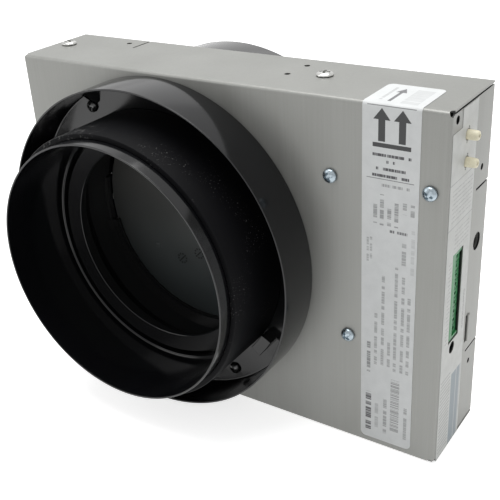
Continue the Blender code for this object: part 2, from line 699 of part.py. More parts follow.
def make_outer_collar(name, frame):
    """The wide ring that takes the duct's insulation jacket."""
    lip = GAP + TUBE_FLANGE_THICKNESS + GAP
    inside = COLLAR_RADIUS - COLLAR_WALL
    collar = turned(name, [
        (COLLAR_RADIUS - RIM_ROUND, COLLAR_LENGTH),
        (COLLAR_RADIUS, COLLAR_LENGTH - RIM_ROUND),
        (COLLAR_RADIUS, GAP),
        (TUBE_FLANGE + GAP, GAP),
        (TUBE_FLANGE + GAP, lip),
        (TUBE_RADIUS + GAP, lip),
        (TUBE_RADIUS + GAP, COLLAR_FLOOR),
        (inside, COLLAR_FLOOR),
        (inside, COLLAR_LENGTH),
    ], parent=frame)
    turn = -1 if frame is REAR_DUCT else 1
    additions = []
    for degrees in COLLAR_PAD_ANGLES:
        middle = turn * degrees
        additions.append(arc_ring(
            "pad", TUBE_RADIUS + GAP + FOAM_THICKNESS + 2 * GAP, inside + COLLAR_WALL / 2,
            COLLAR_FLOOR / 2, COLLAR_FLOOR + PAD_HEIGHT,
            middle - PAD_SPREAD / 2, middle + PAD_SPREAD / 2, frame, steps=4,
        ))
    for degrees in COLLAR_SCREW_ANGLES:
        angle = turn * (degrees + GUSSET_TURN)
        x, y = polar(inside + COLLAR_WALL / 2, angle)
        slope = [(0, 0), (-GUSSET_REACH, 0), (-GUSSET_REACH, GUSSET_LOW), (0, GUSSET_HEIGHT)]
        additions.append(plate("gusset", slope, GUSSET_THICKNESS, (x, y, COLLAR_FLOOR / 2),
                               (QUARTER, 0, math.radians(angle)), frame))
    join(collar, *additions)
    cut(collar, *collar_hole_tools(frame, -COLLAR_FLOOR, 2 * COLLAR_FLOOR))
    finish(collar, BLACK_PLASTIC)


def make_duct_tube(name, frame):
    """The tube that the duct slides over, held by its flange under the collar's floor."""
    flange_top = GAP + TUBE_FLANGE_THICKNESS
    tube = turned(name, [
        (TUBE_RADIUS - RIM_ROUND, TUBE_LENGTH),
        (TUBE_RADIUS, TUBE_LENGTH - RIM_ROUND),
        (TUBE_RADIUS, flange_top),
        (TUBE_FLANGE, flange_top),
        (TUBE_FLANGE, GAP),
        (TUBE_BORE - TUBE_STEP, GAP),
        (TUBE_BORE - TUBE_STEP, TUBE_STEP_LENGTH),
        (TUBE_BORE, TUBE_STEP_LENGTH + TUBE_STEP),
        (TUBE_BORE, TUBE_LENGTH - RIM_ROUND),
        (TUBE_BORE + RIM_ROUND, TUBE_LENGTH),
    ], parent=frame)
    finish(tube, BLACK_PLASTIC)


def make_foam_seal(name, frame):
    inner = TUBE_RADIUS + GAP
    outer = inner + FOAM_THICKNESS - GAP
    top = TUBE_LENGTH - FOAM_SETBACK
    low = COLLAR_FLOOR + GAP
    foam = turned(name, [(outer, top), (outer, low), (inner, low), (inner, top)], parent=frame)
    finish(foam, BLACK_FOAM)


def make_screw(name, size, length, location, axis, material, parent=None):
    """A domed screw. Its head's underside is at the location, its head points along axis."""
    shank, head, height = size
    screw = turned(name, [
        (0, height),
        (head * DOME_TOP[0], height * DOME_TOP[1]),
        (head * DOME_SIDE[0], height * DOME_SIDE[1]),
        (head, 0),
        (shank, 0),
        (shank, -length + shank),
        (0, -length),
    ], closed=False, steps=SCREW_STEPS, location=location, axis=axis, parent=parent)
    finish(screw, material)


# Damper body, its stop gaskets and its shaft bushes

def make_damper_body():
    """The moulded body: spigot, barrel, web, posts, screw bosses, shaft hubs and stop ledges."""
    shoulder = SHEET + GAP
    back = BOX_DEPTH - SHEET - GAP
    bore = BARREL_RADIUS - BARREL_WALL
    middle = BARREL_RADIUS - BARREL_WALL / 2
    lip_bore = SPIGOT_RADIUS - LIP_WALL
    lip_back = LIP_LENGTH - LIP_WALL
    body = turned("damper_body", [
        (SPIGOT_RADIUS, LIP_LENGTH),
        (SPIGOT_RADIUS, -shoulder),
        (BARREL_RADIUS, -shoulder),
        (BARREL_RADIUS, -back),
        (bore, -back),
        (bore, -TAPER_END),
        (lip_bore, -TAPER_START),
        (lip_bore, lip_back),
        (LIP_RADIUS, lip_back),
        (LIP_RADIUS, LIP_LENGTH),
    ], parent=FRONT_DUCT)

    web_half = BOX_HEIGHT / 2 - SHEET - WEB_MARGIN
    web_left = DUCT_INSET - SHEET - WEB_MARGIN
    web = block("web", (-web_left, -web_half, -WEB_BACK), (WEB_RIGHT, web_half, -WEB_FRONT),
                FRONT_DUCT)
    cut(web, rod("bore", middle, (0, 0, 0), (0, 0, -back), RING_STEPS, FRONT_DUCT))

    additions = [web]
    for x, y in collar_screw_spots(FRONT_DUCT):
        additions.append(rod("boss", BOSS_RADIUS, (x, y, -shoulder), (x, y, -back),
                             ROUND_STEPS, FRONT_DUCT))
    post_end = BOX_DEPTH - SHEET - COVER_FLANGE - GAP
    outer_edge = BOX_HEIGHT / 2 - SHEET - GAP
    inner_edge = POST_REACH - POST_SIZE / 2
    for side in (-1, 1):
        for level in (-1, 1):
            edges = sorted((level * inner_edge, level * outer_edge))
            x = side * POST_REACH
            additions.append(block("post", (x - POST_SIZE / 2, edges[0], -post_end),
                                   (x + POST_SIZE / 2, edges[1], -shoulder), FRONT_DUCT))
        additions.append(rod("hub", HUB_RADIUS, (side * middle, 0, -PIVOT_DEPTH),
                             (side * HUB_REACH, 0, -PIVOT_DEPTH), ROUND_STEPS, FRONT_DUCT))
    front_ledge, rear_ledge = stop_depths()
    additions.append(arc_ring("ledge", LEDGE_RADIUS, middle, -front_ledge - LEDGE_THICKNESS,
                              -front_ledge, -180 + LEDGE_END, -LEDGE_END, FRONT_DUCT))
    additions.append(arc_ring("ledge", LEDGE_RADIUS, middle, -rear_ledge - LEDGE_THICKNESS,
                              -rear_ledge, LEDGE_END, 180 - LEDGE_END, FRONT_DUCT))
    join(body, *additions)

    bush_bore = SHAFT_RADIUS + RUNNING + BUSH_WALL + GAP
    tools = [
        rod("bore", bush_bore, (side * (bore - 2 * BARREL_WALL), 0, -PIVOT_DEPTH),
            (side * (HUB_REACH + OVERCUT), 0, -PIVOT_DEPTH), ROUND_STEPS, FRONT_DUCT)
        for side in (-1, 1)
    ]
    tools += collar_hole_tools(FRONT_DUCT, -COLLAR_SCREW_LENGTH, 0)
    tools += collar_hole_tools(FRONT_DUCT, -BOX_DEPTH, COLLAR_SCREW_LENGTH - BOX_DEPTH)
    for side in (-1, 1):
        x = side * POST_REACH
        tools.append(rod("pilot", TOP_SCREW[0] + RUNNING,
                         (x, outer_edge - TOP_SCREW_LENGTH, -TOP_SCREW_DEPTH),
                         (x, outer_edge + POST_SIZE, -TOP_SCREW_DEPTH), SCREW_STEPS, FRONT_DUCT))
    cut(body, *tools)
    finish(body, BLACK_PLASTIC)


def stop_depths():
    """Depths from the front face of the two stop ledges' front sides."""
    blade_front = PIVOT_DEPTH - BLADE_OFFSET - BLADE_THICKNESS
    blade_back = PIVOT_DEPTH - BLADE_OFFSET
    room = 2 * GAP + GASKET_THICKNESS
    return blade_front - room - LEDGE_THICKNESS, blade_back + room


def make_stop_gaskets():
    front_ledge, rear_ledge = stop_depths()
    bore = BARREL_RADIUS - BARREL_WALL
    front_top = -front_ledge - LEDGE_THICKNESS - GAP
    rear_low = -rear_ledge + GAP
    front = arc_ring("stop_gasket_front", LEDGE_RADIUS, bore - 2 * GAP,
                     front_top - GASKET_THICKNESS, front_top,
                     -180 + LEDGE_END, -LEDGE_END, FRONT_DUCT)
    rear = arc_ring("stop_gasket_rear", LEDGE_RADIUS, bore - 2 * GAP,
                    rear_low, rear_low + GASKET_THICKNESS,
                    LEDGE_END, 180 - LEDGE_END, FRONT_DUCT)
    finish(front, BLACK_FOAM)
    finish(rear, BLACK_FOAM)


def make_shaft_bush(name, side):
    inner = SHAFT_RADIUS + RUNNING
    outer = inner + BUSH_WALL
    start = BARREL_RADIUS - BARREL_WALL + 2 * GAP
    seat = HUB_REACH + GAP
    bush = turned(name, [
        (BUSH_FLANGE, seat + BUSH_FLANGE_THICKNESS),
        (BUSH_FLANGE, seat),
        (outer, seat),
        (outer, start),
        (inner, start),
        (inner, seat + BUSH_FLANGE_THICKNESS),
    ], steps=ROUND_STEPS, axis=(side, 0, 0), parent=PIVOT)
    finish(bush, WHITE_NYLON)


# Blade and shaft, in the pivot's frame: X along the shaft, Y to the back

def make_blade():
    back = -BLADE_OFFSET
    front = back - BLADE_THICKNESS
    blade = turned("blade", [
        (0, BLADE_THICKNESS),
        (BLADE_RADIUS - BLADE_EDGE, BLADE_THICKNESS),
        (BLADE_RADIUS, BLADE_THICKNESS - BLADE_EDGE),
        (BLADE_RADIUS, BLADE_EDGE),
        (BLADE_RADIUS - BLADE_EDGE, 0),
        (0, 0),
    ], closed=False, location=(0, back, 0), axis=(0, -1, 0), parent=PIVOT)
    hub = rod("hub", BLADE_HUB_RADIUS, (-BLADE_HUB_REACH, 0, 0), (BLADE_HUB_REACH, 0, 0),
              ROUND_STEPS, PIVOT)
    bite = BLADE_BITE
    ring_outer = BLADE_RING_RADIUS + BLADE_RIB / 2
    ring_inner = BLADE_RING_RADIUS - BLADE_RIB / 2
    ring = turned("ring_rib", [
        (ring_outer, bite), (ring_outer, -BLADE_RING_HEIGHT),
        (ring_inner, -BLADE_RING_HEIGHT), (ring_inner, bite),
    ], steps=RING_STEPS // 2, location=(0, back, 0), axis=(0, -1, 0), parent=PIVOT)
    additions = [hub, ring]
    for x in BLADE_RIB_SPOTS:
        for side in (-1, 1):
            reach = math.sqrt(BLADE_RIB_REACH ** 2 - x ** 2)
            slope = [(-reach, -bite), (reach, -bite), (reach, BLADE_RIB_END_HEIGHT),
                     (BLADE_HUB_RADIUS, BLADE_RIB_HEIGHT), (-BLADE_HUB_RADIUS, BLADE_RIB_HEIGHT),
                     (-reach, BLADE_RIB_END_HEIGHT)]
            additions.append(plate("rib", slope, BLADE_RIB, (side * x, back, 0),
                                   (0, -QUARTER, 0), PIVOT))
    pad_top = BLADE_HUB_RADIUS + PAD_RISE
    for side in (-1, 1):
        x = side * BLADE_SCREW_REACH
        additions.append(rod("pad", BLADE_SCREW[1] + PAD_RISE, (x, back - bite, 0),
                             (x, pad_top, 0), ROUND_STEPS, PIVOT))
    nub = NUB_SIZE / 2
    additions.append(block("nub", (-nub, front - NUB_HEIGHT, -nub), (nub, front + bite, nub),
                           PIVOT))
    join(blade, *additions)
    tools = [rod("shaft_hole", SHAFT_RADIUS + GAP, (-BLADE_RADIUS, 0, 0), (BLADE_RADIUS, 0, 0),
                 ROUND_STEPS, PIVOT)]
    for side in (-1, 1):
        x = side * BLADE_SCREW_REACH
        tools.append(rod("screw_hole", BLADE_SCREW[0] + GAP, (x, back + bite, 0),
                         (x, 2 * pad_top, 0), SCREW_STEPS, PIVOT))
    cut(blade, *tools)
    finish(blade, BLADE_PLASTIC)


def make_blade_shaft():
    shaft = rod("blade_shaft", SHAFT_RADIUS, (-SHAFT_LEFT, 0, 0), (SHAFT_RIGHT, 0, 0),
                ROUND_STEPS, PIVOT)
    tools = []
    for side in (-1, 1):
        x = side * BLADE_SCREW_REACH
        tools.append(rod("screw_hole", BLADE_SCREW[0] + GAP, (x, -2 * SHAFT_RADIUS, 0),
                         (x, 2 * SHAFT_RADIUS, 0), SCREW_STEPS, PIVOT))
    cut(shaft, *tools)
    finish(shaft, STEEL)


# Drive, in the pivot's frame

def cam_radius(degrees):
    """The cam's radius at an angle from the top towards the back: it falls, then rises."""
    quarter = degrees / 90
    if quarter <= 1:
        return CAM_RADIUS - CAM_DROP * quarter
    if quarter <= 2:
        return CAM_RADIUS - CAM_DROP
    if quarter <= 3:
        return CAM_RADIUS - CAM_DROP * (3 - quarter)
    return CAM_RADIUS


def make_shaft_coupling():
    coupling = rod("shaft_coupling", COUPLING_RADIUS, (COUPLING_START, 0, 0),
                   (COUPLING_END, 0, 0), ROUND_STEPS, PIVOT)
    angles = range(0, 360, 10)
    outline = [(cam_radius(a) * math.sin(math.radians(a)), cam_radius(a) * math.cos(math.radians(a)))
               for a in angles]
    cam = plate("cam", outline, CAM_END - CAM_START, ((CAM_START + CAM_END) / 2, 0, 0),
                (QUARTER, 0, QUARTER), PIVOT)
    join(coupling, cam)
    cut(coupling, rod("bore", SHAFT_RADIUS + GAP, (0, 0, 0), (2 * COUPLING_END, 0, 0),
                      ROUND_STEPS, PIVOT))
    finish(coupling, WHITE_NYLON)


def make_motor_shaft():
    end = MOTOR_SHAFT_START + MOTOR_SHAFT_LENGTH
    shaft = rod("motor_shaft", SHAFT_RADIUS, (MOTOR_SHAFT_START, 0, 0), (end, 0, 0),
                ROUND_STEPS, PIVOT)
    finish(shaft, STEEL)


def make_motor_bracket():
    """An angle bracket whose upright carries the motor and the limit switches."""
    front = -PIVOT_DEPTH + SHEET + GAP
    back = front + BRACKET_DEPTH
    end = BRACKET_START + BRACKET_SHEET
    bracket = block("motor_bracket", (BRACKET_START, front, -BRACKET_HALF),
                    (end, back, BRACKET_HALF), PIVOT)
    foot = block("foot", (BRACKET_START, front, FOOT_LOW),
                 (BRACKET_START + FOOT_LENGTH, front + BRACKET_SHEET, FOOT_HIGH), PIVOT)
    join(bracket, foot)
    over = 2 * BRACKET_SHEET
    tools = [rod("hole", BRACKET_HOLE, (BRACKET_START - over, 0, 0), (end + over, 0, 0),
                 ROUND_STEPS, PIVOT)]
    for side in (-1, 1):
        z = side * EAR_REACH
        tools.append(rod("hole", MOTOR_SCREW[0] + RUNNING, (BRACKET_START - over, MOTOR_OFFSET, z),
                         (end + over, MOTOR_OFFSET, z), SCREW_STEPS, PIVOT))
    for x, z in (LEFT_SCREW_REACH, LOW_SCREW_REACH):
        tools.append(rod("hole", FACE_SCREW[0] + RUNNING, (x, front - over, z),
                         (x, front + 2 * over, z), SCREW_STEPS, PIVOT))
    cut(bracket, *tools)
    finish(bracket, GALVANISED)


def make_motor():
    start = MOTOR_START
    gearbox_end = start + GEARBOX_LENGTH
    gearbox = rod("motor_gearbox", MOTOR_RADIUS, (start, MOTOR_OFFSET, 0),
                  (gearbox_end, MOTOR_OFFSET, 0), 2 * ROUND_STEPS, PIVOT)
    ears = block("ears", (start, MOTOR_OFFSET - EAR_RADIUS, -EAR_REACH),
                 (start + EAR_THICKNESS, MOTOR_OFFSET + EAR_RADIUS, EAR_REACH), PIVOT)
    additions = [ears]
    tools = [rod("bore", SHAFT_RADIUS + GAP, (start - GEARBOX_LENGTH, 0, 0),
                 (gearbox_end + GEARBOX_LENGTH, 0, 0), ROUND_STEPS, PIVOT)]
    for side in (-1, 1):
        z = side * EAR_REACH
        additions.append(rod("ear", EAR_RADIUS, (start, MOTOR_OFFSET, z),
                             (start + EAR_THICKNESS, MOTOR_OFFSET, z), ROUND_STEPS, PIVOT))
        tools.append(rod("hole", MOTOR_SCREW[0] + RUNNING, (start - EAR_THICKNESS, MOTOR_OFFSET, z),
                         (start + 2 * EAR_THICKNESS, MOTOR_OFFSET, z), SCREW_STEPS, PIVOT))
    join(gearbox, *additions)
    cut(gearbox, *tools)
    finish(gearbox, GREY)

    case = turned("motor_case", [
        (0, MOTOR_CAN_LENGTH),
        (MOTOR_RADIUS - BEND_RADIUS, MOTOR_CAN_LENGTH),
        (MOTOR_RADIUS, MOTOR_CAN_LENGTH - BEND_RADIUS),
        (MOTOR_RADIUS, 0),
        (0, 0),
    ], closed=False, steps=2 * ROUND_STEPS, location=(gearbox_end + GAP, MOTOR_OFFSET, 0),
        axis=(1, 0, 0), parent=PIVOT)
    finish(case, STEEL)
    for side, name in ((1, "motor_screw_upper"), (-1, "motor_screw_lower")):
        make_screw(name, MOTOR_SCREW, MOTOR_SCREW_LENGTH,
                   (BRACKET_START - GAP, MOTOR_OFFSET, side * EAR_REACH), (-1, 0, 0), ZINC, PIVOT)


def make_limit_switch(name, side, lever_face):
    """A switch above or below the cam. lever_face is the height of its lever's cam side."""
    lever_top = lever_face + LEVER_THICKNESS
    room = LEVER_ROOM if side > 0 else LOWER_LEVER_ROOM
    near = lever_top + room
    end = SWITCH_START + SWITCH_WIDTH
    body_z = sorted((side * near, side * (near + SWITCH_HEIGHT)))
    body = block(name + "_body", (SWITCH_START, SWITCH_FRONT, body_z[0]),
                 (end, SWITCH_BACK, body_z[1]), PIVOT)
    cheek_z = sorted((side * (lever_face - LEVER_THICKNESS), side * (near + CHEEK_LENGTH)))
    cheeks = [
        block("cheek", (x, SWITCH_FRONT, cheek_z[0]),
              (x + CHEEK, SWITCH_FRONT + CHEEK_LENGTH, cheek_z[1]), PIVOT)
        for x in (SWITCH_START, end - CHEEK)
    ]
    join(body, *cheeks)
    finish(body, BLACK_PLASTIC)

    pin_z = side * (lever_face + LEVER_THICKNESS / 2)
    hinge = make_frame(name + "_lever_pivot", (DUCT_X, PIVOT_Y + LEVER_PIVOT, DUCT_Z + pin_z))
    start, stop = SWITCH_START + CHEEK + GAP, end - CHEEK - GAP
    half = LEVER_THICKNESS / 2
    lever = block(name + "_lever", (start, 0, -half), (stop, LEVER_TIP - LEVER_PIVOT, half), hinge)
    join(lever, rod("pin", LEVER_PIN_RADIUS, (start, 0, 0), (stop, 0, 0), SCREW_STEPS, hinge))
    finish(lever, STEEL)


# Board, plug and pressure ports

def make_board_carrier():
    x = WALL_X - CARRIER_INSET
    front, back = FRONT_Y + CARRIER_FRONT, FRONT_Y + CARRIER_BACK
    top = BOX_HEIGHT - CARRIER_TOP_MARGIN
    carrier = block("board_carrier", (x - CARRIER_THICKNESS, front, CARRIER_LOW), (x, back, top))
    tab_y = FRONT_Y + TAB_DEPTH
    tab_z = DUCT_Z + TAB_LOW
    tab = block("tab", (x - CARRIER_THICKNESS, tab_y, tab_z),
                (x + TAB_LENGTH, tab_y + CARRIER_THICKNESS, tab_z + TAB_HEIGHT))
    join(carrier, tab)
    over = 2 * CARRIER_THICKNESS
    screw_x, screw_z = FACE_SCREWS["face_screw_upper_right"]
    tools = [rod("hole", FACE_SCREW[0] + RUNNING, (screw_x, tab_y - over, screw_z),
                 (screw_x, tab_y + 2 * over, screw_z), SCREW_STEPS)]
    for y, z in spacer_spots():
        tools.append(rod("hole", SPACER_PIN + RUNNING, (x - over, y, z), (x + over, y, z),
                         SCREW_STEPS))
    cut(carrier, *tools)
    finish(carrier, GALVANISED)


def spacer_spots():
    """Places of the four spacers near the board's corners."""
    return [
        (y, z)
        for y in (FRONT_Y + BOARD_FRONT + SPACER_INSET, FRONT_Y + BOARD_BACK - SPACER_INSET)
        for z in (BOARD_LOW + SPACER_INSET, BOX_HEIGHT - BOARD_TOP_MARGIN - SPACER_INSET)
    ]


def make_circuit_board():
    top = BOX_HEIGHT - BOARD_TOP_MARGIN
    board = block("circuit_board", (BOARD_X - BOARD_THICKNESS, FRONT_Y + BOARD_FRONT, BOARD_LOW),
                  (BOARD_X, FRONT_Y + BOARD_BACK, top))
    over = 2 * BOARD_THICKNESS
    cut(board, *[
        rod("hole", SPACER_PIN + RUNNING, (BOARD_X - over, y, z), (BOARD_X + over, y, z),
            SCREW_STEPS)
        for y, z in spacer_spots()
    ])
    finish(board, BOARD)
    low = WALL_X - CARRIER_INSET + GAP
    for number, (y, z) in enumerate(spacer_spots(), 1):
        pin_reach = GAP + BOARD_THICKNESS + GAP
        spacer = turned(f"board_spacer_{number}", [
            (0, SPACER_LENGTH + pin_reach),
            (SPACER_PIN, SPACER_LENGTH + pin_reach),
            (SPACER_PIN, SPACER_LENGTH),
            (SPACER_RADIUS, SPACER_LENGTH),
            (SPACER_RADIUS, 0),
            (SPACER_PIN, 0),
            (SPACER_PIN, -GAP - CARRIER_THICKNESS),
            (0, -GAP - CARRIER_THICKNESS),
        ], closed=False, steps=SCREW_STEPS, location=(low, y, z), axis=(1, 0, 0))
        finish(spacer, WHITE_NYLON)


def pole_heights():
    first = PLUG_LOW + PLUG_END_WALL + POLE_PITCH / 2
    return [first + POLE_PITCH * i for i in range(POLES)]


def make_terminal():
    outer_x = WALL_X + SHEET - PLUG_SETBACK
    inner_x = outer_x - PLUG_LENGTH
    low_y, high_y = PLUG_Y - PLUG_WIDTH / 2, PLUG_Y + PLUG_WIDTH / 2
    plug_frame = make_frame("terminal_plug_seat", (inner_x, PLUG_Y, PLUG_LOW))
    plug = block("terminal_plug", (0, low_y - PLUG_Y, 0),
                 (PLUG_LENGTH, high_y - PLUG_Y, PLUG_HIGH - PLUG_LOW), plug_frame)
    tools = [block("wire_recess", (PLUG_LENGTH - PLUG_STEP, low_y - PLUG_Y + PLUG_STEP_DEPTH,
                                   PLUG_END_WALL),
                   (PLUG_LENGTH + PLUG_STEP, high_y - PLUG_Y + GAP,
                    PLUG_HIGH - PLUG_LOW - PLUG_END_WALL), plug_frame)]
    over = PLUG_STEP
    for z in [height - PLUG_LOW for height in pole_heights()]:
        tools.append(rod("wire_hole", WIRE_HOLE_RADIUS, (PLUG_LENGTH / 2, WIRE_HOLE_OFFSET, z),
                         (PLUG_LENGTH + over, WIRE_HOLE_OFFSET, z), 10, plug_frame))
        tools.append(rod("socket", PIN_RADIUS + GAP, (-over, 0, z),
                         (PIN_LENGTH + GAP, 0, z), 8, plug_frame))
    cut(plug, *tools)
    finish(plug, GREEN)

    header_end = inner_x - GAP
    header = block("terminal_header", (BOARD_X + GAP, low_y, PLUG_LOW),
                   (header_end, high_y, PLUG_HIGH))
    join(header, *[
        rod("pin", PIN_RADIUS, (header_end - over, PLUG_Y, z), (header_end + PIN_LENGTH, PLUG_Y, z), 8)
        for z in pole_heights()
    ])
    finish(header, GREEN)


def make_pressure_parts():
    top = PORT_HEIGHTS[0] + SENSOR_MARGIN
    low = PORT_HEIGHTS[1] - SENSOR_MARGIN
    start = BOARD_X + GAP
    face = start + SENSOR_HEIGHT
    sensor = block("pressure_sensor", (start, PORT_Y - SENSOR_WIDTH / 2, low),
                   (face, PORT_Y + SENSOR_WIDTH / 2, top))
    join(sensor, *[
        rod("nipple", NIPPLE_RADIUS, (start + SENSOR_HEIGHT / 2, PORT_Y, z),
            (face + NIPPLE_LENGTH, PORT_Y, z), SCREW_STEPS)
        for z in PORT_HEIGHTS
    ])
    finish(sensor, BLACK_PLASTIC)
    for name, z in zip(("pressure_port_upper", "pressure_port_lower"), PORT_HEIGHTS):
        tip = SHEET + PORT_REACH
        port = turned(name, [
            (PORT_MOUTH + RIM_ROUND, tip),
            (PORT_RADIUS - RIM_ROUND, tip),
            (PORT_RADIUS, tip - RIM_ROUND),
            (PORT_RADIUS, -GAP),
            (PORT_FLANGE_RADIUS, -GAP),
            (PORT_FLANGE_RADIUS, -GAP - PORT_FLANGE_THICKNESS),
            (PORT_RADIUS, -GAP - PORT_FLANGE_THICKNESS),
            (PORT_RADIUS, -GAP - PORT_FLANGE_THICKNESS - PORT_INNER_LENGTH),
            (PORT_BORE, -GAP - PORT_FLANGE_THICKNESS - PORT_INNER_LENGTH),
            (PORT_BORE, 0),
            (PORT_MOUTH, PORT_RADIUS),
            (PORT_MOUTH, tip - RIM_ROUND),
        ], steps=ROUND_STEPS, location=(WALL_X, PORT_Y, z), axis=(1, 0, 0))
        finish(port, IVORY)


def make_board_parts():
    start = BOARD_X + GAP
    depth, rise = RELAY_PLACE
    y, z = FRONT_Y + depth, DUCT_Z + rise
    tall, wide, high = RELAY_SIZE
    relay = block("relay", (start, y - wide / 2, z), (start + tall, y + wide / 2, z + high),
                  bevel=0.0005)
    finish(relay, BLUE)
    depth, rise = CAPACITOR_PLACE
    y, z = FRONT_Y + depth, DUCT_Z + rise
    capacitor = turned("capacitor", [
        (0, CAPACITOR_LENGTH),
        (CAPACITOR_RADIUS - RIM_ROUND, CAPACITOR_LENGTH),
        (CAPACITOR_RADIUS, CAPACITOR_LENGTH - RIM_ROUND),
        (CAPACITOR_RADIUS, 0),
        (0, 0),
    ], closed=False, steps=ROUND_STEPS, location=(start, y, z), axis=(1, 0, 0))
    finish(capacitor, BLACK_PLASTIC)


# Assembly

make_front_shell()
make_rear_cover()
for place, duct_frame in (("front", FRONT_DUCT), ("rear", REAR_DUCT)):
    make_outer_collar(place + "_outer_collar", duct_frame)
    make_duct_tube(place + "_duct_tube", duct_frame)
    make_foam_seal(place + "_foam_seal", duct_frame)
    for number, (x, y) in enumerate(collar_screw_spots(duct_frame), 1):
        make_screw(f"{place}_collar_screw_{number}", COLLAR_SCREW, COLLAR_SCREW_LENGTH,
                   (x, y, COLLAR_FLOOR + GAP), (0, 0, 1), BLACK_SCREW, duct_frame)
for name, (x, z) in FACE_SCREWS.items():
    make_screw(name, FACE_SCREW, FACE_SCREW_LENGTH, (x, FRONT_Y - GAP, z), (0, -1, 0), ZINC)
for side, name in ((-1, "top_screw_left"), (1, "top_screw_right")):
    make_screw(name, TOP_SCREW, TOP_SCREW_LENGTH,
               (DUCT_X + side * POST_REACH, FRONT_Y + TOP_SCREW_DEPTH, BOX_HEIGHT + GAP),
               (0, 0, 1), STEEL)
make_damper_body()
make_stop_gaskets()
make_shaft_bush("shaft_bush_left", -1)
make_shaft_bush("shaft_bush_right", 1)
make_blade()
make_blade_shaft()
for side, name in ((-1, "blade_screw_left"), (1, "blade_screw_right")):
    make_screw(name, BLADE_SCREW, BLADE_SCREW_LENGTH,
               (side * BLADE_SCREW_REACH, BLADE_HUB_RADIUS + PAD_RISE + GAP, 0), (0, 1, 0),
               ZINC, PIVOT)
make_shaft_coupling()
make_motor_shaft()
make_motor_bracket()
make_motor()
make_limit_switch("upper_switch", 1, CAM_RADIUS + GAP)
make_limit_switch("lower_switch", -1, CAM_RADIUS - CAM_DROP + GAP)
make_board_carrier()
make_circuit_board()
make_terminal()
make_pressure_parts()
make_board_parts()
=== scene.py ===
import math

import bpy
from mathutils import Matrix, Vector


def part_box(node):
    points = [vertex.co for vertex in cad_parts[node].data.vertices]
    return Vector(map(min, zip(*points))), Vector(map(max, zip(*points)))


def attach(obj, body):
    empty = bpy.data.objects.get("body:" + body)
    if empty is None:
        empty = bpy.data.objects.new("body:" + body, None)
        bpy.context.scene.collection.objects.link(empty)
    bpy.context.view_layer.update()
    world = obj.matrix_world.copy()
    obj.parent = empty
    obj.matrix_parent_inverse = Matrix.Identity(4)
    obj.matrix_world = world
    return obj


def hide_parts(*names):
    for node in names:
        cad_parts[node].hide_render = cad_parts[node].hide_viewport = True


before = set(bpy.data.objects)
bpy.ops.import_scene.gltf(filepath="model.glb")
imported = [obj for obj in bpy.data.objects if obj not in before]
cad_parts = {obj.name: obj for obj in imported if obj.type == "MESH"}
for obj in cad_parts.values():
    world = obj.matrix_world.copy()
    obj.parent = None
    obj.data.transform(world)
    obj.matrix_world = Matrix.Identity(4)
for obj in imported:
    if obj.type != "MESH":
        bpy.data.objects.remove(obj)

# Motorised round duct damper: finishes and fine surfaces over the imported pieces
print("damper: frame loaded")
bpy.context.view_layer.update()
caseLow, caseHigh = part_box("front_shell")
caseHigh.x = -caseLow.x  # the tie bridge stands proud of the right-hand sheet
collarLow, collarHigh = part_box("front_outer_collar")
ductX = (collarLow.x + collarHigh.x) / 2
ductZ = (collarLow.z + collarHigh.z) / 2
gap = 0.0003
sheet = 0.0009
mergeReach = 0.000005


# Picking, adding and shaping

def clearSelection():
    if bpy.context.object and bpy.context.object.mode != "OBJECT":
        bpy.ops.object.mode_set(mode="OBJECT")
    bpy.ops.object.select_all(action="DESELECT")


def pick(piece):
    clearSelection()
    piece.select_set(True)
    bpy.context.view_layer.objects.active = piece


def editAll(piece):
    pick(piece)
    bpy.ops.object.mode_set(mode="EDIT")
    bpy.ops.mesh.select_all(action="SELECT")


def mergePoints():
    bpy.ops.mesh.select_all(action="SELECT")
    bpy.ops.mesh.remove_doubles(threshold=mergeReach)


def closeEdit():
    # all faces turned outwards
    bpy.ops.mesh.select_all(action="SELECT")
    bpy.ops.mesh.normals_make_consistent(inside=False)
    bpy.ops.object.mode_set(mode="OBJECT")


def settle(piece):
    # the place goes into the mesh, so the object itself sits at the origin
    pick(piece)
    bpy.ops.object.transform_apply(location=True, rotation=True, scale=True)
    return piece


def smooth(piece, degrees=30):
    pick(piece)
    bpy.ops.object.shade_smooth_by_angle(angle=math.radians(degrees))
    return piece


def newPiece(name):
    # names what was just added and settles it
    piece = bpy.context.object
    piece.name = name
    return settle(piece)


def addBox(name, low, high):
    low, high = Vector(low), Vector(high)
    clearSelection()
    bpy.ops.mesh.primitive_cube_add(size=1, location=(low + high) / 2, scale=high - low)
    return newPiece(name)


def addRod(name, radius, start, end, sides=48):
    start, end = Vector(start), Vector(end)
    turn = Vector((0, 0, 1)).rotation_difference(end - start).to_euler()
    clearSelection()
    bpy.ops.mesh.primitive_cylinder_add(
        vertices=sides, radius=radius, depth=(end - start).length,
        location=(start + end) / 2, rotation=turn)
    return newPiece(name)


def drill(radius, place, axis, reach=0.004, sides=48):
    # a round cutter that reaches as far to either side of its place
    place, axis = Vector(place), Vector(axis)
    return addRod("tool", radius, place - axis * reach, place + axis * reach, sides)


def startLine(name, points):
    # one vertex, drawn out point by point
    clearSelection()
    bpy.ops.mesh.primitive_plane_add(size=0.002, location=points[0])
    piece = bpy.context.object
    piece.name = name
    bpy.ops.object.mode_set(mode="EDIT")
    bpy.ops.mesh.merge(type="CENTER")
    for here, there in zip(points, points[1:]):
        bpy.ops.mesh.extrude_region_move(TRANSFORM_OT_translate={"value": there - here})
    return piece


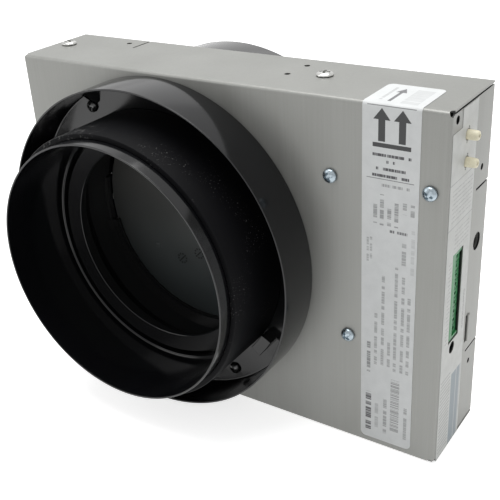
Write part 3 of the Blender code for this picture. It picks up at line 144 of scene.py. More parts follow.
def spinRound(name, profile, origin, out, steps=192, closed=True, arc=None):
    # profile holds (radius, height along out); arc is (start, sweep) in degrees for part of a turn
    origin, out = Vector(origin), Vector(out)
    side = Vector((1, 0, 0)) if abs(out.x) < 0.5 else Vector((0, 0, 1))
    if arc:
        start = math.radians(arc[0])
        side = side * math.cos(start) + Vector((0, 0, 1)) * math.sin(start)
    points = [origin + side * radius + out * height for radius, height in profile]
    if closed:
        points.append(points[0])
    piece = startLine(name, points)
    mergePoints()
    if arc:
        bpy.ops.mesh.edge_face_add()
        bpy.ops.mesh.spin(steps=steps, angle=math.radians(arc[1]), center=origin, axis=(0, 1, 0))
    else:
        bpy.ops.mesh.spin(steps=steps, angle=math.tau, center=origin, axis=out)
    mergePoints()
    closeEdit()
    return smooth(settle(piece))


def slab(name, outline, thickness):
    # a flat outline drawn point by point, filled and given its thickness
    piece = startLine(name, list(outline) + [outline[0]])
    mergePoints()
    bpy.ops.mesh.select_all(action="SELECT")
    bpy.ops.mesh.edge_face_add()
    bpy.ops.mesh.extrude_region_move(TRANSFORM_OT_translate={"value": thickness})
    closeEdit()
    return settle(piece)


def modify(piece, kind, **settings):
    pick(piece)
    modifier = piece.modifiers.new(kind, kind)
    for key, value in settings.items():
        setattr(modifier, key, value)
    bpy.ops.object.modifier_apply(modifier=modifier.name)
    return piece


def soften(piece, width, segments=3, degrees=40):
    # rounds the sharp edges and keeps the flats flat
    return modify(piece, "BEVEL", width=width, segments=segments, limit_method="ANGLE",
                  angle_limit=math.radians(degrees), harden_normals=True)


def combine(piece, tools, operation):
    box = bpy.data.collections.new("tools")
    bpy.context.scene.collection.children.link(box)
    for tool in tools:
        box.objects.link(tool)
    modify(piece, "BOOLEAN", operation=operation, solver="EXACT", operand_type="COLLECTION",
           collection=box)
    for tool in tools:
        bpy.data.objects.remove(tool)
    bpy.data.collections.remove(box)
    return piece


def cut(piece, *tools):
    return combine(piece, tools, "DIFFERENCE")


def weld(piece, *tools):
    return combine(piece, tools, "UNION")


def joinMeshes(name, pieces):
    clearSelection()
    for piece in pieces:
        piece.select_set(True)
    bpy.context.view_layer.objects.active = pieces[0]
    bpy.ops.object.join()
    whole = bpy.context.object
    whole.name = name
    return whole


def copyOf(piece, name, move):
    # a copy with its own mesh
    pick(piece)
    bpy.ops.object.duplicate(linked=False)
    twin = bpy.context.object
    twin.name = name
    editAll(twin)
    bpy.ops.transform.translate(value=move)
    bpy.ops.object.mode_set(mode="OBJECT")
    return twin


def twist(piece, degrees, axis, about):
    editAll(piece)
    bpy.ops.transform.rotate(value=math.radians(degrees), orient_axis=axis, center_override=about)
    bpy.ops.object.mode_set(mode="OBJECT")


def mount(piece, body, slot, *nodes):
    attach(piece, body)
    if nodes:
        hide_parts(*nodes)


def polar(radius, degrees, y):
    # a place on a circle about the duct's axis, seen from the front
    angle = math.radians(degrees)
    return Vector((ductX + radius * math.cos(angle), y, ductZ + radius * math.sin(angle)))


# Shader sums

class Wire:
    def __init__(self, tree, socket=None):
        self.tree = tree
        self.socket = socket

    def make(self, kind, settings=None, values=None, out=0):
        node = self.tree.nodes.new(kind)
        for key, value in (settings or {}).items():
            setattr(node, key, value)
        for key, value in (values or {}).items():
            if isinstance(value, Wire):
                self.tree.links.new(value.socket, node.inputs[key])
            else:
                node.inputs[key].default_value = value
        return Wire(self.tree, node.outputs[out])

    def maths(self, operation, second=0.0, first=None):
        return self.make("ShaderNodeMath", {"operation": operation},
                         {0: self if first is None else first, 1: second})

    def __add__(self, other):
        return self.maths("ADD", other)

    __radd__ = __add__

    def __sub__(self, other):
        return self.maths("SUBTRACT", other)

    def __rsub__(self, other):
        return self.maths("SUBTRACT", self, other)

    def __mul__(self, other):
        return self.maths("MULTIPLY", other)

    __rmul__ = __mul__

    def above(self, level):
        return self.maths("GREATER_THAN", level)

    def below(self, level):
        return self.maths("LESS_THAN", level)

    def ramp(self, low, high, start=0.0, end=1.0):
        return self.make("ShaderNodeMapRange", {"clamp": True}, {
            "Value": self, "From Min": low, "From Max": high, "To Min": start, "To Max": end})

    def noise(self, scale, detail=3.0, roughness=0.5, distortion=0.0):
        return self.make("ShaderNodeTexNoise", None, {
            "Vector": self, "Scale": scale, "Detail": detail,
            "Roughness": roughness, "Distortion": distortion})

    def lineNoise(self, scale):
        # noise along this one coordinate
        return self.make("ShaderNodeTexNoise", {"noise_dimensions": "1D"},
                         {"W": self, "Scale": scale, "Detail": 0.0})

    def cells(self, scale):
        return self.make("ShaderNodeTexVoronoi", None, {"Vector": self, "Scale": scale})

    def stretch(self, scale):
        return self.make("ShaderNodeMapping", None, {"Vector": self, "Scale": scale})

    def axes(self):
        parts = self.tree.nodes.new("ShaderNodeSeparateXYZ")
        self.tree.links.new(self.socket, parts.inputs[0])
        return [Wire(self.tree, parts.outputs[i]) for i in range(3)]

    def size(self):
        return self.maths("ABSOLUTE")

    def blend(self, first, second):
        # a colour from first to second as this wire goes from 0 to 1
        return self.make("ShaderNodeMix", {"data_type": "RGBA"}, {0: self, 6: first, 7: second}, 2)

    def bump(self, strength, distance=0.0001, normal=None):
        values = {"Height": self, "Strength": strength, "Distance": distance}
        if normal:
            values["Normal"] = normal
        return self.make("ShaderNodeBump", None, values)


def newFinish(name, colour, roughness, **fixed):
    # a material with its shader, and a wire of object coordinates to paint with
    material = bpy.data.materials.new(name)
    material.use_nodes = True
    tree = material.node_tree
    shader = tree.nodes["Principled BSDF"]
    shader.inputs["Base Color"].default_value = (*colour, 1)
    shader.inputs["Roughness"].default_value = roughness
    for key, value in fixed.items():
        shader.inputs[key.replace("_", " ")].default_value = value
    place = Wire(tree).make("ShaderNodeTexCoord", out=3)
    return material, shader, place


def feed(shader, **wires):
    for key, wire in wires.items():
        wire.tree.links.new(wire.socket, shader.inputs[key.replace("_", " ")])


def paint(piece, material):
    piece.data.materials.clear()
    piece.data.materials.append(material)
    return piece


# Finishes

def galvanised(name, paintedShade=False):
    # rolled zinc coat: fine vertical drawing lines, soft clouds and a few rubbed marks
    material, shader, place = newFinish(name, (0.3, 0.3, 0.29), 0.45, Metallic=0.55)
    clouds = place.stretch((1, 1, 0.5)).noise(22, 3, 0.5)
    lines = place.stretch((1, 1, 0.02)).noise(900, 2, 0.6)
    wide = place.stretch((1, 1, 0.04)).noise(120, 3, 0.6)
    grain = place.noise(2600, 2, 0.5)
    marks = place.stretch((1, 1, 3)).noise(60, 6, 0.75).ramp(0.66, 0.74)
    tone = clouds * 0.42 + lines * 0.14 + wide * 0.14 + grain * 0.16 - marks * 0.08
    colour = tone.ramp(0.25, 0.60).blend((0.229, 0.231, 0.216, 1), (0.308, 0.311, 0.297, 1))
    if paintedShade:
        # painted shade: cut edges and inner faces are painted near black and lose their metal,
        # standing in for the shade inside the case
        x, y, z = place.axes()
        middle = (caseLow.z + caseHigh.z) / 2
        depth = y.below(caseLow.y + 0.0021) * 0.0005 + 0.0002
        inside = (x.size() + depth).below(caseHigh.x) * (y.size() + depth).below(-caseLow.y)
        inside = inside * ((z - middle).size() + depth).below(middle)
        colour = inside.blend(colour, (0.006, 0.006, 0.006, 1))
        feed(shader, Metallic=inside.ramp(0, 1, 0.55, 0.0))
    rough = (clouds * 0.5 + wide * 0.5).ramp(0.3, 0.7, 0.40, 0.54)
    bump = (lines * 0.5 + grain * 0.5).bump(0.07, 0.00005)
    feed(shader, Base_Color=colour, Roughness=rough, Normal=bump)
    return material


def plasticFinish(name, colour, roughness, specular, grain=0.08, spread=0.06):
    # moulded plastic with a faint texture and slightly uneven gloss
    material, shader, place = newFinish(name, colour, roughness, Specular_IOR_Level=specular)
    fine = place.noise(1500, 3, 0.6)
    broad = place.noise(35, 3, 0.55)
    dark = (*[value * 0.82 for value in colour], 1)
    light = (*[min(1, value * 1.16) for value in colour], 1)
    shade = (broad * 0.7 + fine * 0.3).ramp(0.32, 0.68).blend(dark, light)
    rough = broad.ramp(0.3, 0.7, roughness - spread, roughness + spread)
    feed(shader, Base_Color=shade, Roughness=rough, Normal=fine.bump(grain, 0.00004))
    return material


def specked(name, colour, roughness, specular, amount):
    # black foam with pale dust caught on it, most of it round the strip's joined ends
    material, shader, place = newFinish(name, colour, roughness, Specular_IOR_Level=specular)
    x, y, z = place.axes()
    pores = place.noise(420, 5, 0.75, 0.6)
    seam = polar(ductLook["tubeRadius"], ductLook["foamSeam"][0] - 4, 0)
    near = ((x - seam.x) * (x - seam.x) + (z - seam.z) * (z - seam.z)).ramp(0.00002, 0.0009, 1, 0)
    edge = y.size().ramp(0.050, 0.072)
    dust = place.noise(1300, 2, 0.5).ramp(0.67, 0.71) * place.noise(28, 3, 0.6).ramp(0.50, 0.66)
    torn = place.stretch((1, 0.4, 1)).noise(620, 4, 0.7).ramp(0.55, 0.66) * near * edge
    shade = (dust * amount + torn * 0.5).ramp(0, 1).blend((*colour, 1), (0.30, 0.30, 0.29, 1))
    feed(shader, Base_Color=shade, Normal=(pores + torn * 2).bump(0.45, 0.00025))
    return material


def metalFinish(name, colour, roughness, metallic=1.0):
    # plated or bare metal with a fine turned grain and slight stains
    material, shader, place = newFinish(name, colour, roughness, Metallic=metallic)
    grain = place.noise(2200, 3, 0.6)
    stain = place.noise(240, 4, 0.6)
    dark = (*[value * 0.72 for value in colour], 1)
    shade = (stain * 0.7 + grain * 0.3).ramp(0.35, 0.62).blend(dark, (*colour, 1))
    rough = grain.ramp(0.3, 0.7, roughness - 0.06, roughness + 0.10)
    feed(shader, Base_Color=shade, Roughness=rough, Normal=grain.bump(0.12, 0.00003))
    return material


def boardFinish():
    # solder mask with faint tracks and pale pads
    material, shader, place = newFinish("boardLaminate", (0.02, 0.13, 0.07), 0.35)
    x, y, z = place.axes()
    broken = place.stretch((1, 1, 0.1)).noise(90, 1).above(0.5)
    tracks = (y * 900).maths("SINE").above(0.55) * broken
    pads = place.cells(260.0).below(0.16)
    shade = tracks.blend((0.018, 0.115, 0.06, 1), (0.035, 0.20, 0.10, 1))
    shade = pads.blend(shade, (0.62, 0.60, 0.52, 1))
    feed(shader, Base_Color=shade, Normal=tracks.bump(0.2, 0.00004))
    return material


# Case

caseLook = {
    "bendRadius": 0.0018,
    "seam": 0.0009,
    "cornerRelief": 0.0019,
    "cornerNotch": (0.0022, 0.0015),
    "ductHole": 0.069,
    "slit": 0.0011,
    "slitFront": 0.0103,
    "sideSlits": (0.14125, 0.04925),
    "flangeSlit": -0.0775,
    "sideHoles": [(-0.0191, 0.1852, 0.0020), (0.0163, 0.1510, 0.0017), (0.0162, 0.0400, 0.0015),
                  (0.0161, 0.1114, 0.0047), (-0.0106, 0.0639, 0.0033)],
    "topHoles": [(-0.0865, 0.0178), (0.0349, 0.0149), (0.0332, -0.0019)],
    "topHoleRadius": 0.0016,
    "ports": [0.1745, 0.1614],
    "portY": -0.0059,
    "portHole": 0.0027,
    "portPin": (0.0010, 0.0034, 0.0005),
    "plugRoom": 0.0004,
    "tieSlot": (0.0080, 0.0096, 0.0557, 0.0720),
    # the strap's two sides behind the slot, and its rise
    "strap": (0.0002, 0.0028, 0.0009),
}


def foldedTray():
    # open box with rounded bends round its front face, then its sheet thickness
    shell = addBox("caseShell", caseLow, caseHigh)
    editAll(shell)
    bpy.ops.mesh.select_all(action="DESELECT")
    bpy.ops.object.mode_set(mode="OBJECT")
    for face in shell.data.polygons:
        face.select = face.normal.y > 0.9
    bpy.ops.object.mode_set(mode="EDIT")
    bpy.ops.mesh.delete(type="ONLY_FACE")
    bpy.ops.mesh.select_all(action="DESELECT")
    bpy.ops.object.mode_set(mode="OBJECT")
    points = shell.data.vertices
    for edge in shell.data.edges:
        edge.select = all(points[i].co.y < caseLow.y + 0.001 for i in edge.vertices)
    bpy.ops.object.mode_set(mode="EDIT")
    bpy.ops.mesh.bevel(offset=caseLook["bendRadius"], segments=8, affect="EDGES")
    closeEdit()
    return modify(shell, "SOLIDIFY", thickness=sheet, offset=-1, use_even_offset=True)


def caseCutters():
    look = caseLook
    right, front, back = caseHigh.x, caseLow.y, caseHigh.y + 0.002
    bend, half = look["bendRadius"], look["slit"] / 2
    tools = [drill(look["ductHole"], (ductX, front, ductZ), (0, 1, 0), 0.002, 192)]
    for side in (right, caseLow.x):
        near, far = side - 0.003, side + 0.003
        for seamZ in (caseHigh.z - sheet - look["seam"], caseLow.z + sheet):
            tools.append(addBox("tool", (near, front + 2 * bend, seamZ),
                                (far, back, seamZ + look["seam"])))
        for cornerZ in (caseHigh.z - sheet, caseLow.z + sheet):
            clearSelection()
            bpy.ops.mesh.primitive_uv_sphere_add(
                segments=24, ring_count=12, radius=look["cornerRelief"],
                location=(side, front + bend, cornerZ))
            tools.append(settle(bpy.context.object))
        for slitZ in look["sideSlits"]:
            tools.append(addBox("tool", (near, look["slitFront"], slitZ - half),
                                (far, back, slitZ + half)))
    for holeY, holeZ, radius in look["sideHoles"]:
        tools.append(drill(radius, (right, holeY, holeZ), (1, 0, 0)))
    for holeY, holeZ, radius in portHoles(look["portHole"]):
        tools.append(drill(radius, (right, holeY, holeZ), (1, 0, 0), sides=40))
    notch, notchDepth = look["cornerNotch"]
    for side in (-1, 1):
        x = side * (right - notch)
        tools.append(addRod("tool", notch, (x, front - 0.002, caseLow.z),
                            (x, front + notchDepth, caseLow.z)))
    tools.append(plugCutter(right, 0.004, look["plugRoom"]))
    slotFront, slotBack, slotLow, slotHigh = look["tieSlot"]
    tools.append(addBox("tool", (right - 0.004, slotFront, slotLow),
                        (right + 0.004, slotBack, slotHigh)))
    for holeX, holeY in look["topHoles"]:
        tools.append(drill(look["topHoleRadius"], (holeX, holeY, caseHigh.z), (0, 0, 1), sides=32))
    for slitZ in (caseLow.z, caseHigh.z):
        tools.append(addBox("tool", (look["flangeSlit"] - half, look["slitFront"], slitZ - 0.003),
                            (look["flangeSlit"] + half, back, slitZ + 0.003)))
    return tools


def plugCutter(x, reach, room):
    # the terminal plug's opening, with room round the plug
    low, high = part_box("terminal_plug")
    return addBox("tool", (x - reach, low.y - room, low.z - room),
                  (x + reach, high.y + room, high.z + room))


def portHoles(radius):
    # each pressure port's hole and the two locating holes beside it
    look = caseLook
    back, rise, pin = look["portPin"]
    spots = []
    for portZ in look["ports"]:
        spots.append((look["portY"], portZ, radius))
        spots.append((look["portY"] + back, portZ + rise, pin))
        spots.append((look["portY"] - back, portZ - rise, pin))
    return spots


def raisedBridge():
    # the strap that is pushed out of the side sheet beside the tie slot
    slotFront, slotBack, slotLow, slotHigh = caseLook["tieSlot"]
    near, far, rise = caseLook["strap"]
    strap = addBox("strap", (caseHigh.x - 0.0002, slotBack + near, slotLow),
                   (caseHigh.x + rise, slotBack + far, slotHigh))
    return soften(strap, 0.0006, 4)


def makeCaseShell():
    shell = foldedTray()
    cut(shell, *caseCutters())
    shell = joinMeshes("caseShell", [shell, raisedBridge()])
    smooth(shell, 30)
    mount(paint(shell, caseSheet), "case", "galvanised_steel", "front_shell")


# Duct connections, the same on both sides

ductLook = {
    "collarRadius": 0.0929,
    "collarWall": 0.0018,
    "collarLength": 0.026,
    "collarLead": 0.0008,
    "plate": 0.0018,
    "floor": 0.0033,
    "tubeRadius": 0.073,
    "tubeBore": 0.0718,
    "tubeLength": 0.0536,
    "tubeLead": 0.0002,
    "baseRadius": 0.080,
    "baseHeight": 0.0015,
    "rimRound": 0.0003,
    "innerStep": 0.0010,
    "innerStepLength": 0.0106,
    "foamThickness": 0.003,
    "foamSetback": 0.008,
    "screwCircle": 0.084,
    "screwAngles": (120, 30, -60, -150),
    "screwHole": 0.0017,
    # angle, spread, inner and outer radius, height
    "pads": ((-36, 9, 0.0769, 0.0835, 0.0093), (144, 9, 0.0769, 0.0835, 0.0093)),
    "padFoot": 0.002,
    "gussetAngles": (117, -147),
    "gusset": ((0, 0), (0.0079, 0), (0.0079, 0.0035), (0, 0.0100)),
    "gussetThickness": 0.0014,
    # angle, width and depth of the cut where the strip's ends meet
    "foamSeam": (118, 0.0005, 0.0012),
}


def roundedRim(outer, inner, top, lead, steps=5):
    # a wall's free edge, from its outer side over to its inner side, which leads in by a slope
    radius = ductLook["rimRound"]
    turns = [math.pi / 2 * i / steps for i in range(steps + 1)]
    points = [(outer - radius + radius * math.cos(turn), top - radius + radius * math.sin(turn))
              for turn in turns]
    points += [(inner + lead + radius - radius * math.sin(turn),
                top - radius + radius * math.cos(turn)) for turn in turns]
    return points + [(inner, top - 6 * lead)]


def facing(side):
    # a connection's start and its outward direction; side is -1 in front and 1 at the back
    y = caseLow.y if side < 0 else caseHigh.y
    return Vector((ductX, y, ductZ)), Vector((0, side, 0))


def makeOuterCollar(name, node, side):
    look = ductLook
    origin, out = facing(side)
    wallIn, floor = look["collarRadius"] - look["collarWall"], look["floor"]
    baseIn, tubeIn = look["baseRadius"] + gap, look["tubeRadius"] + gap
    collar = spinRound(name, [
        (look["collarRadius"], gap), (baseIn, gap), (baseIn, look["plate"]),
        (tubeIn, look["plate"]), (tubeIn, floor), (wallIn - 0.0008, floor),
        (wallIn - 0.0002, floor + 0.0002), (wallIn, floor + 0.0008),
        *reversed(roundedRim(look["collarRadius"], wallIn, look["collarLength"],
                             look["collarLead"])),
    ], origin, out)
    extras = []
    for turned in look["gussetAngles"]:
        foot = polar(wallIn + look["collarWall"] / 2, turned, origin.y + side * floor / 2)
        inward = (polar(0, turned, 0) - polar(1, turned, 0)).normalized()
        across = inward.cross(out) * look["gussetThickness"]
        outline = [foot - across / 2 + inward * reach + out * height
                   for reach, height in look["gusset"]]
        extras.append(soften(slab("gusset", outline, across), 0.0003, 3))
    low = look["padFoot"]
    for angle, spread, near, far, height in look["pads"]:
        pad = spinRound("pad", [(near, low), (far, low), (far, height), (near, height)],
                        origin, out, steps=10, arc=(-side * angle - spread / 2, spread))
        extras.append(soften(pad, 0.0003, 3))
    weld(collar, *extras)
    circle = look["screwCircle"]
    cut(collar, *[addRod("tool", look["screwHole"], polar(circle, angle, origin.y),
                         polar(circle, angle, origin.y + side * 0.006), 32)
                  for angle in look["screwAngles"]])
    smooth(collar, 32)
    mount(paint(collar, blackPlastic), "case", "black_plastic", node)


def makeDuctTube(name, node, side):
    look = ductLook
    origin, out = facing(side)
    outer, base, low = look["tubeRadius"], look["baseRadius"], look["baseHeight"]
    bore, stepEnd = look["tubeBore"], look["innerStepLength"]
    step = bore - look["innerStep"]
    tube = spinRound(name, [
        (outer, low), (base, low), (base, gap), (step, gap), (step, stepEnd - 0.0002),
        (step + 0.0002, stepEnd), (bore - 0.0003, stepEnd), (bore, stepEnd + 0.0003),
        *reversed(roundedRim(outer, bore, look["tubeLength"], look["tubeLead"])),
    ], origin, out, steps=256)
    mount(paint(tube, blackPlastic), "case", "black_plastic", node)


def makeFoamSeal(name, node, side):
    # a strip wound once round the tube, its two ends meeting in a shallow cut
    look = ductLook
    origin, out = facing(side)
    inner = look["tubeRadius"] + gap
    outer = look["tubeRadius"] + look["foamThickness"]
    low, top = look["floor"] + gap, look["tubeLength"] - look["foamSetback"]
    foam = spinRound(name, [
        (inner, low), (outer - 0.0004, low), (outer, low + 0.0004), (outer, low + 0.010),
        (outer, low + 0.020), (outer, low + 0.030), (outer, top - 0.0008),
        (outer - 0.0003, top - 0.0002), (outer - 0.0008, top), (inner, top),
    ], origin, out, steps=256)
    angle, wide, deep = look["foamSeam"]
    across = (polar(1, angle + 90, 0) - polar(0, angle + 90, 0)) * wide / 2
    shallow, far = polar(outer - deep, angle, origin.y), polar(outer + 0.001, angle, origin.y)
    start, end = out * (low - 0.001), out * (top + 0.001)
    cut(foam, slab("tool", [shallow - across + start, far - across + start, far + across + start,
                            shallow + across + start], end - start))
    smooth(foam, 35)
    mount(paint(foam, blackFoam), "case", "black_foam", node)


# Screws

screwLook = {
    # head radius and height, shank radius
    "collar": (0.0034, 0.0022, 0.0015),
    "face": (0.0037, 0.0026, 0.0017),
    "top": (0.0044, 0.0020, 0.0017),
    "collarShank": 0.0115,
    "faceShank": 0.005,
    "topShank": 0.0085,
    "recess": 0.0007,
    "recessReach": 0.62,
    "recessDepth": 0.55,
    # how far each cross recess is turned
    "faceScrews": {"face_screw_upper_left": 20, "face_screw_upper_right": 65,
                   "face_screw_lower": 40},
    "topScrews": {"top_screw_left": 30, "top_screw_right": 75},
}


def makeScrew(name, size, place, out, length):
    # a domed head with a cross recess, on a plain shank
    head, height, shank = size
    place, out = Vector(place), Vector(out)
    dome = []
    for i in range(9):
        angle = math.pi / 2 * i / 8
        dome.append((head * math.sin(angle), 0.0004 + (height - 0.0004) * math.cos(angle)))
    foot = [(head, 0.0002), (head - 0.0002, 0), (shank, 0), (shank, -length), (0, -length)]
    screw = spinRound(name, dome + foot, place, out, steps=48, closed=False)
    look = screwLook
    side = Vector((1, 0, 0)) if abs(out.x) < 0.5 else Vector((0, 1, 0))
    across = out.cross(side)
    tools = []
    top, low = place + out * (height + 0.0005), place + out * height * (1 - look["recessDepth"])
    for wide, thin in ((side, across), (across, side)):
        reach = wide * head * look["recessReach"] + thin * look["recess"]
        reach = Vector([abs(value) for value in reach])
        corners = [low - reach, low + reach, top - reach, top + reach]
        tools.append(addBox("tool", [min(corner[i] for corner in corners) for i in range(3)],
                            [max(corner[i] for corner in corners) for i in range(3)]))
    cut(screw, weld(*tools))
    return smooth(screw, 35)


def makeScrews():
    look, circle = screwLook, ductLook["screwCircle"]
    first = makeScrew("collarScrew", look["collar"], polar(circle, 120, caseLow.y - 0.0036),
                      (0, -1, 0), look["collarShank"])
    paint(first, blackScrew)
    middle = polar(circle, 120, 0)
    for side, place in ((-1, "front"), (1, "rear")):
        for number, angle in enumerate(ductLook["screwAngles"], 1):
            target = polar(circle, angle, 0)
            twin = copyOf(first, f"{place}CollarScrew{number}", target - middle)
            if side > 0:
                twist(twin, 180, "X", target)
            mount(twin, "case", "black_screw", f"{place}_collar_screw_{number}")
    bpy.data.objects.remove(first)
    for node, degrees in look["faceScrews"].items():
        low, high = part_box(node)
        x, z = (low.x + high.x) / 2, (low.z + high.z) / 2
        screw = makeScrew(node.title().replace("_", ""), look["face"], (x, caseLow.y - gap, z),
                          (0, -1, 0), look["faceShank"])
        twist(screw, degrees, "Y", (x, 0, z))
        mount(paint(screw, blueZinc), "case", "blue_zinc", node)
    for node, degrees in look["topScrews"].items():
        low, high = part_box(node)
        x, y = (low.x + high.x) / 2, (low.y + high.y) / 2
        screw = makeScrew(node.title().replace("_", ""), look["top"], (x, y, caseHigh.z + gap),
                          (0, 0, 1), look["topShank"])
        twist(screw, degrees, "Z", (x, y, 0))
        mount(paint(screw, brightSteel), "case", "bright_steel", node)


# Damper body and blade

bladeLook = {
    "radius": 0.069,
    "frontY": 0.0040,
    "backY": 0.0064,
    "edge": 0.0006,
    "nub": 0.003,
    "nubHeight": 0.0006,
    "hubRadius": 0.0058,
    "hubReach": 0.062,
    "pivotY": 0.010,
    "shaftBore": 0.0033,
    # how deep ribs, ring, pads and nubs sink into the disc
    "sink": 0.0008,
    # inner and outer radius, rise
    "ring": (0.044, 0.046, 0.003),
    "ribSpots": (-0.044, -0.022, 0.022, 0.044),
    "ribCircle": 0.061,
    "ribThickness": 0.002,
    # at the rim and beside the hub
    "ribRise": (0.00125, 0.005),
    "screwReach": 0.030,
    "screwPad": (0.0034, 0.0066),
    "screwHole": 0.0016,
    "nubSpots": ((0, 0), (-0.0356, -0.0266)),
    "dimpleRings": ((-0.0171, -0.0314), (-0.0038, -0.0252)),
    "dimpleRadius": 0.0030,
    "dimpleWidth": 0.0006,
}


damperLook = {
    # radius and height before the case's front face
    "profile": ((0.0672, 0.0106), (0.0672, -0.0012), (0.0724, -0.0012), (0.0724, -0.0512),
                (0.0702, -0.0512), (0.0702, -0.010), (0.0652, -0.002), (0.0652, 0.0086),
                (0.0576, 0.0086), (0.0574, 0.0088), (0.0574, 0.0104), (0.0576, 0.0106)),
    "front": -0.0250,
    "back": 0.0250,
    "middle": 0.0713,
    "web": ((-0.0930, -0.0012, -0.09325), (0.0875, 0.0018, 0.09325)),
    "boss": 0.0045,
    "postReach": 0.086,
    "postSize": 0.014,
    "posts": (0.079, 0.09405),
    "postBack": 0.0110,
    "topPilot": (0.0025, 0.0019, 0.009),
    "hub": (0.009, 0.086),
    "bushBore": 0.0058,
    "bushStart": 0.0658,
    "ledgeRadius": 0.0665,
    "ledgeThickness": 0.002,
    "ledgeSpread": 156,
    # front side of the ledge, start angle
    "ledges": ((-0.0001, -168), (0.0085, 12)),
    # low walls beside the blade's two ends, between the stop ledges: radius, spread, heights
    "guard": (0.06935, 24, 0.0001, -0.0105),
    "screwPilot": (0.0017, 0.012),
}


def barrelArc(name, inner, front, back, steps, start, spread):
    # part of a ring inside the barrel, between two heights
    outer = damperLook["middle"]
    origin, out = facing(-1)
    profile = [(inner, front), (outer, front), (outer, back), (inner, back)]
    return spinRound(name, profile, origin, out, steps=steps, arc=(start, spread))


def makeDamperBody():
    look = damperLook
    origin, out = facing(-1)
    circle, angles = ductLook["screwCircle"], ductLook["screwAngles"]
    body = spinRound("damperBody", look["profile"], origin, out, steps=256)
    axis = Vector((ductX, 0, ductZ))
    web = addBox("web", *[axis + Vector(corner) for corner in look["web"]])
    cut(web, drill(look["middle"], axis, (0, 1, 0), 0.03, 256))
    extras = [web]
    for angle in angles:
        extras.append(addRod("boss", look["boss"], polar(circle, angle, look["front"]),
                             polar(circle, angle, look["back"])))
    half, (inner, outer) = look["postSize"] / 2, look["posts"]
    hubRadius, hubReach = look["hub"]
    pivotY = bladeLook["pivotY"]
    for side in (-1, 1):
        x = ductX + side * look["postReach"]
        for level in (-1, 1):
            low, high = sorted((level * inner, level * outer))
            post = addBox("post", (x - half, look["front"], ductZ + low),
                          (x + half, look["postBack"], ductZ + high))
            extras.append(soften(post, 0.0006, 3))
        extras.append(addRod("hub", hubRadius, (ductX + side * look["middle"], pivotY, ductZ),
                             (ductX + side * hubReach, pivotY, ductZ), 64))
    for frontSide, start in look["ledges"]:
        height = caseLow.y - frontSide
        extras.append(barrelArc("ledge", look["ledgeRadius"], height,
                                height - look["ledgeThickness"], 104, start, look["ledgeSpread"]))
    radius, spread, front, back = look["guard"]
    for middle in (0, 180):
        extras.append(barrelArc("guard", radius, caseLow.y + front, caseLow.y + back, 16,
                                middle - spread / 2, spread))
    weld(body, *extras)
    tools = []
    pilotY, pilotRadius, pilotDepth = look["topPilot"]
    for side in (-1, 1):
        tools.append(addRod("tool", look["bushBore"],
                            (ductX + side * look["bushStart"], pivotY, ductZ),
                            (ductX + side * (hubReach + 0.001), pivotY, ductZ)))
        x = ductX + side * look["postReach"]
        tools.append(addRod("tool", pilotRadius, (x, pilotY, ductZ + outer - pilotDepth),
                            (x, pilotY, ductZ + outer + 0.01), 32))
    pilotRadius, pilotDepth = look["screwPilot"]
    for angle in angles:
        for low, high in ((caseLow.y - 0.001, caseLow.y + pilotDepth),
                          (caseHigh.y - pilotDepth, caseHigh.y + 0.001)):
            tools.append(addRod("tool", pilotRadius, polar(circle, angle, low),
                                polar(circle, angle, high), 32))
    cut(body, *tools)
    smooth(body, 30)
    mount(paint(body, blackPlastic), "case", "black_plastic", "damper_body")


def makeBlade():
    look = bladeLook
    front, back, radius, edge = look["frontY"], look["backY"], look["radius"], look["edge"]
    rim = [(radius - edge + edge * math.cos(a), front + edge - edge * math.sin(a))
           for a in [math.pi / 2 * i / 4 for i in range(4, -1, -1)]]
    rim += [(radius - edge + edge * math.cos(a), back - edge + edge * math.sin(a))
            for a in [math.pi / 2 * i / 4 for i in range(5)]]
    profile = [(0, front)] + rim + [(0, back)]
    blade = spinRound("damperBlade", profile, (ductX, 0, ductZ), (0, 1, 0), steps=192,
                      closed=False)
    middle, reach = Vector((ductX, look["pivotY"], ductZ)), Vector((look["hubReach"], 0, 0))
    hubRadius, sink = look["hubRadius"], look["sink"]
    hub = soften(addRod("hub", hubRadius, middle - reach, middle + reach), 0.0006)
    inner, outer, rise = look["ring"]
    top = back + rise
    ring = spinRound("ring", [(inner, back - sink), (outer, back - sink), (outer, top - 0.0002),
                              (outer - 0.0002, top), (inner + 0.0002, top), (inner, top - 0.0002)],
                     (ductX, 0, ductZ), (0, 1, 0), steps=128)
    extras = [hub, ring]
    thickness, (rimRise, hubRise) = look["ribThickness"], look["ribRise"]
    for spot in look["ribSpots"]:
        reach = math.sqrt(look["ribCircle"] ** 2 - spot ** 2)
        outline = [Vector((ductX + spot - thickness / 2, back + rise, ductZ + along))
                   for along, rise in ((-reach, -sink), (reach, -sink), (reach, rimRise),
                                       (hubRadius, hubRise), (-hubRadius, hubRise),
                                       (-reach, rimRise))]
        extras.append(soften(slab("rib", outline, Vector((thickness, 0, 0))), 0.0003, 2))
    padRadius, padRise = look["screwPad"]
    for side in (-1, 1):
        x = ductX + side * look["screwReach"]
        pad = addRod("pad", padRadius, (x, back - sink, ductZ), (x, middle.y + padRise, ductZ))
        extras.append(soften(pad, 0.0003))
    half = look["nub"] / 2
    nubs = []
    for across, up in look["nubSpots"]:
        x, z = ductX + across, ductZ + up
        nubs.append(soften(addBox("nub", (x - half, front - look["nubHeight"], z - half),
                                  (x + half, front + sink, z + half)), 0.0002))
    weld(blade, *extras)
    tools = [drill(look["shaftBore"], middle, (1, 0, 0), 0.075)]
    for side in (-1, 1):
        x = ductX + side * look["screwReach"]
        tools.append(addRod("tool", look["screwHole"], (x, back + sink, ductZ),
                            (x, back + 0.02, ductZ), 24))
    cut(blade, *tools)
    blade = joinMeshes("damperBlade", [blade, *nubs])
    smooth(blade, 32)
    mount(paint(blade, bladePlastic()), "blade_assembly", "blade_plastic", "blade")


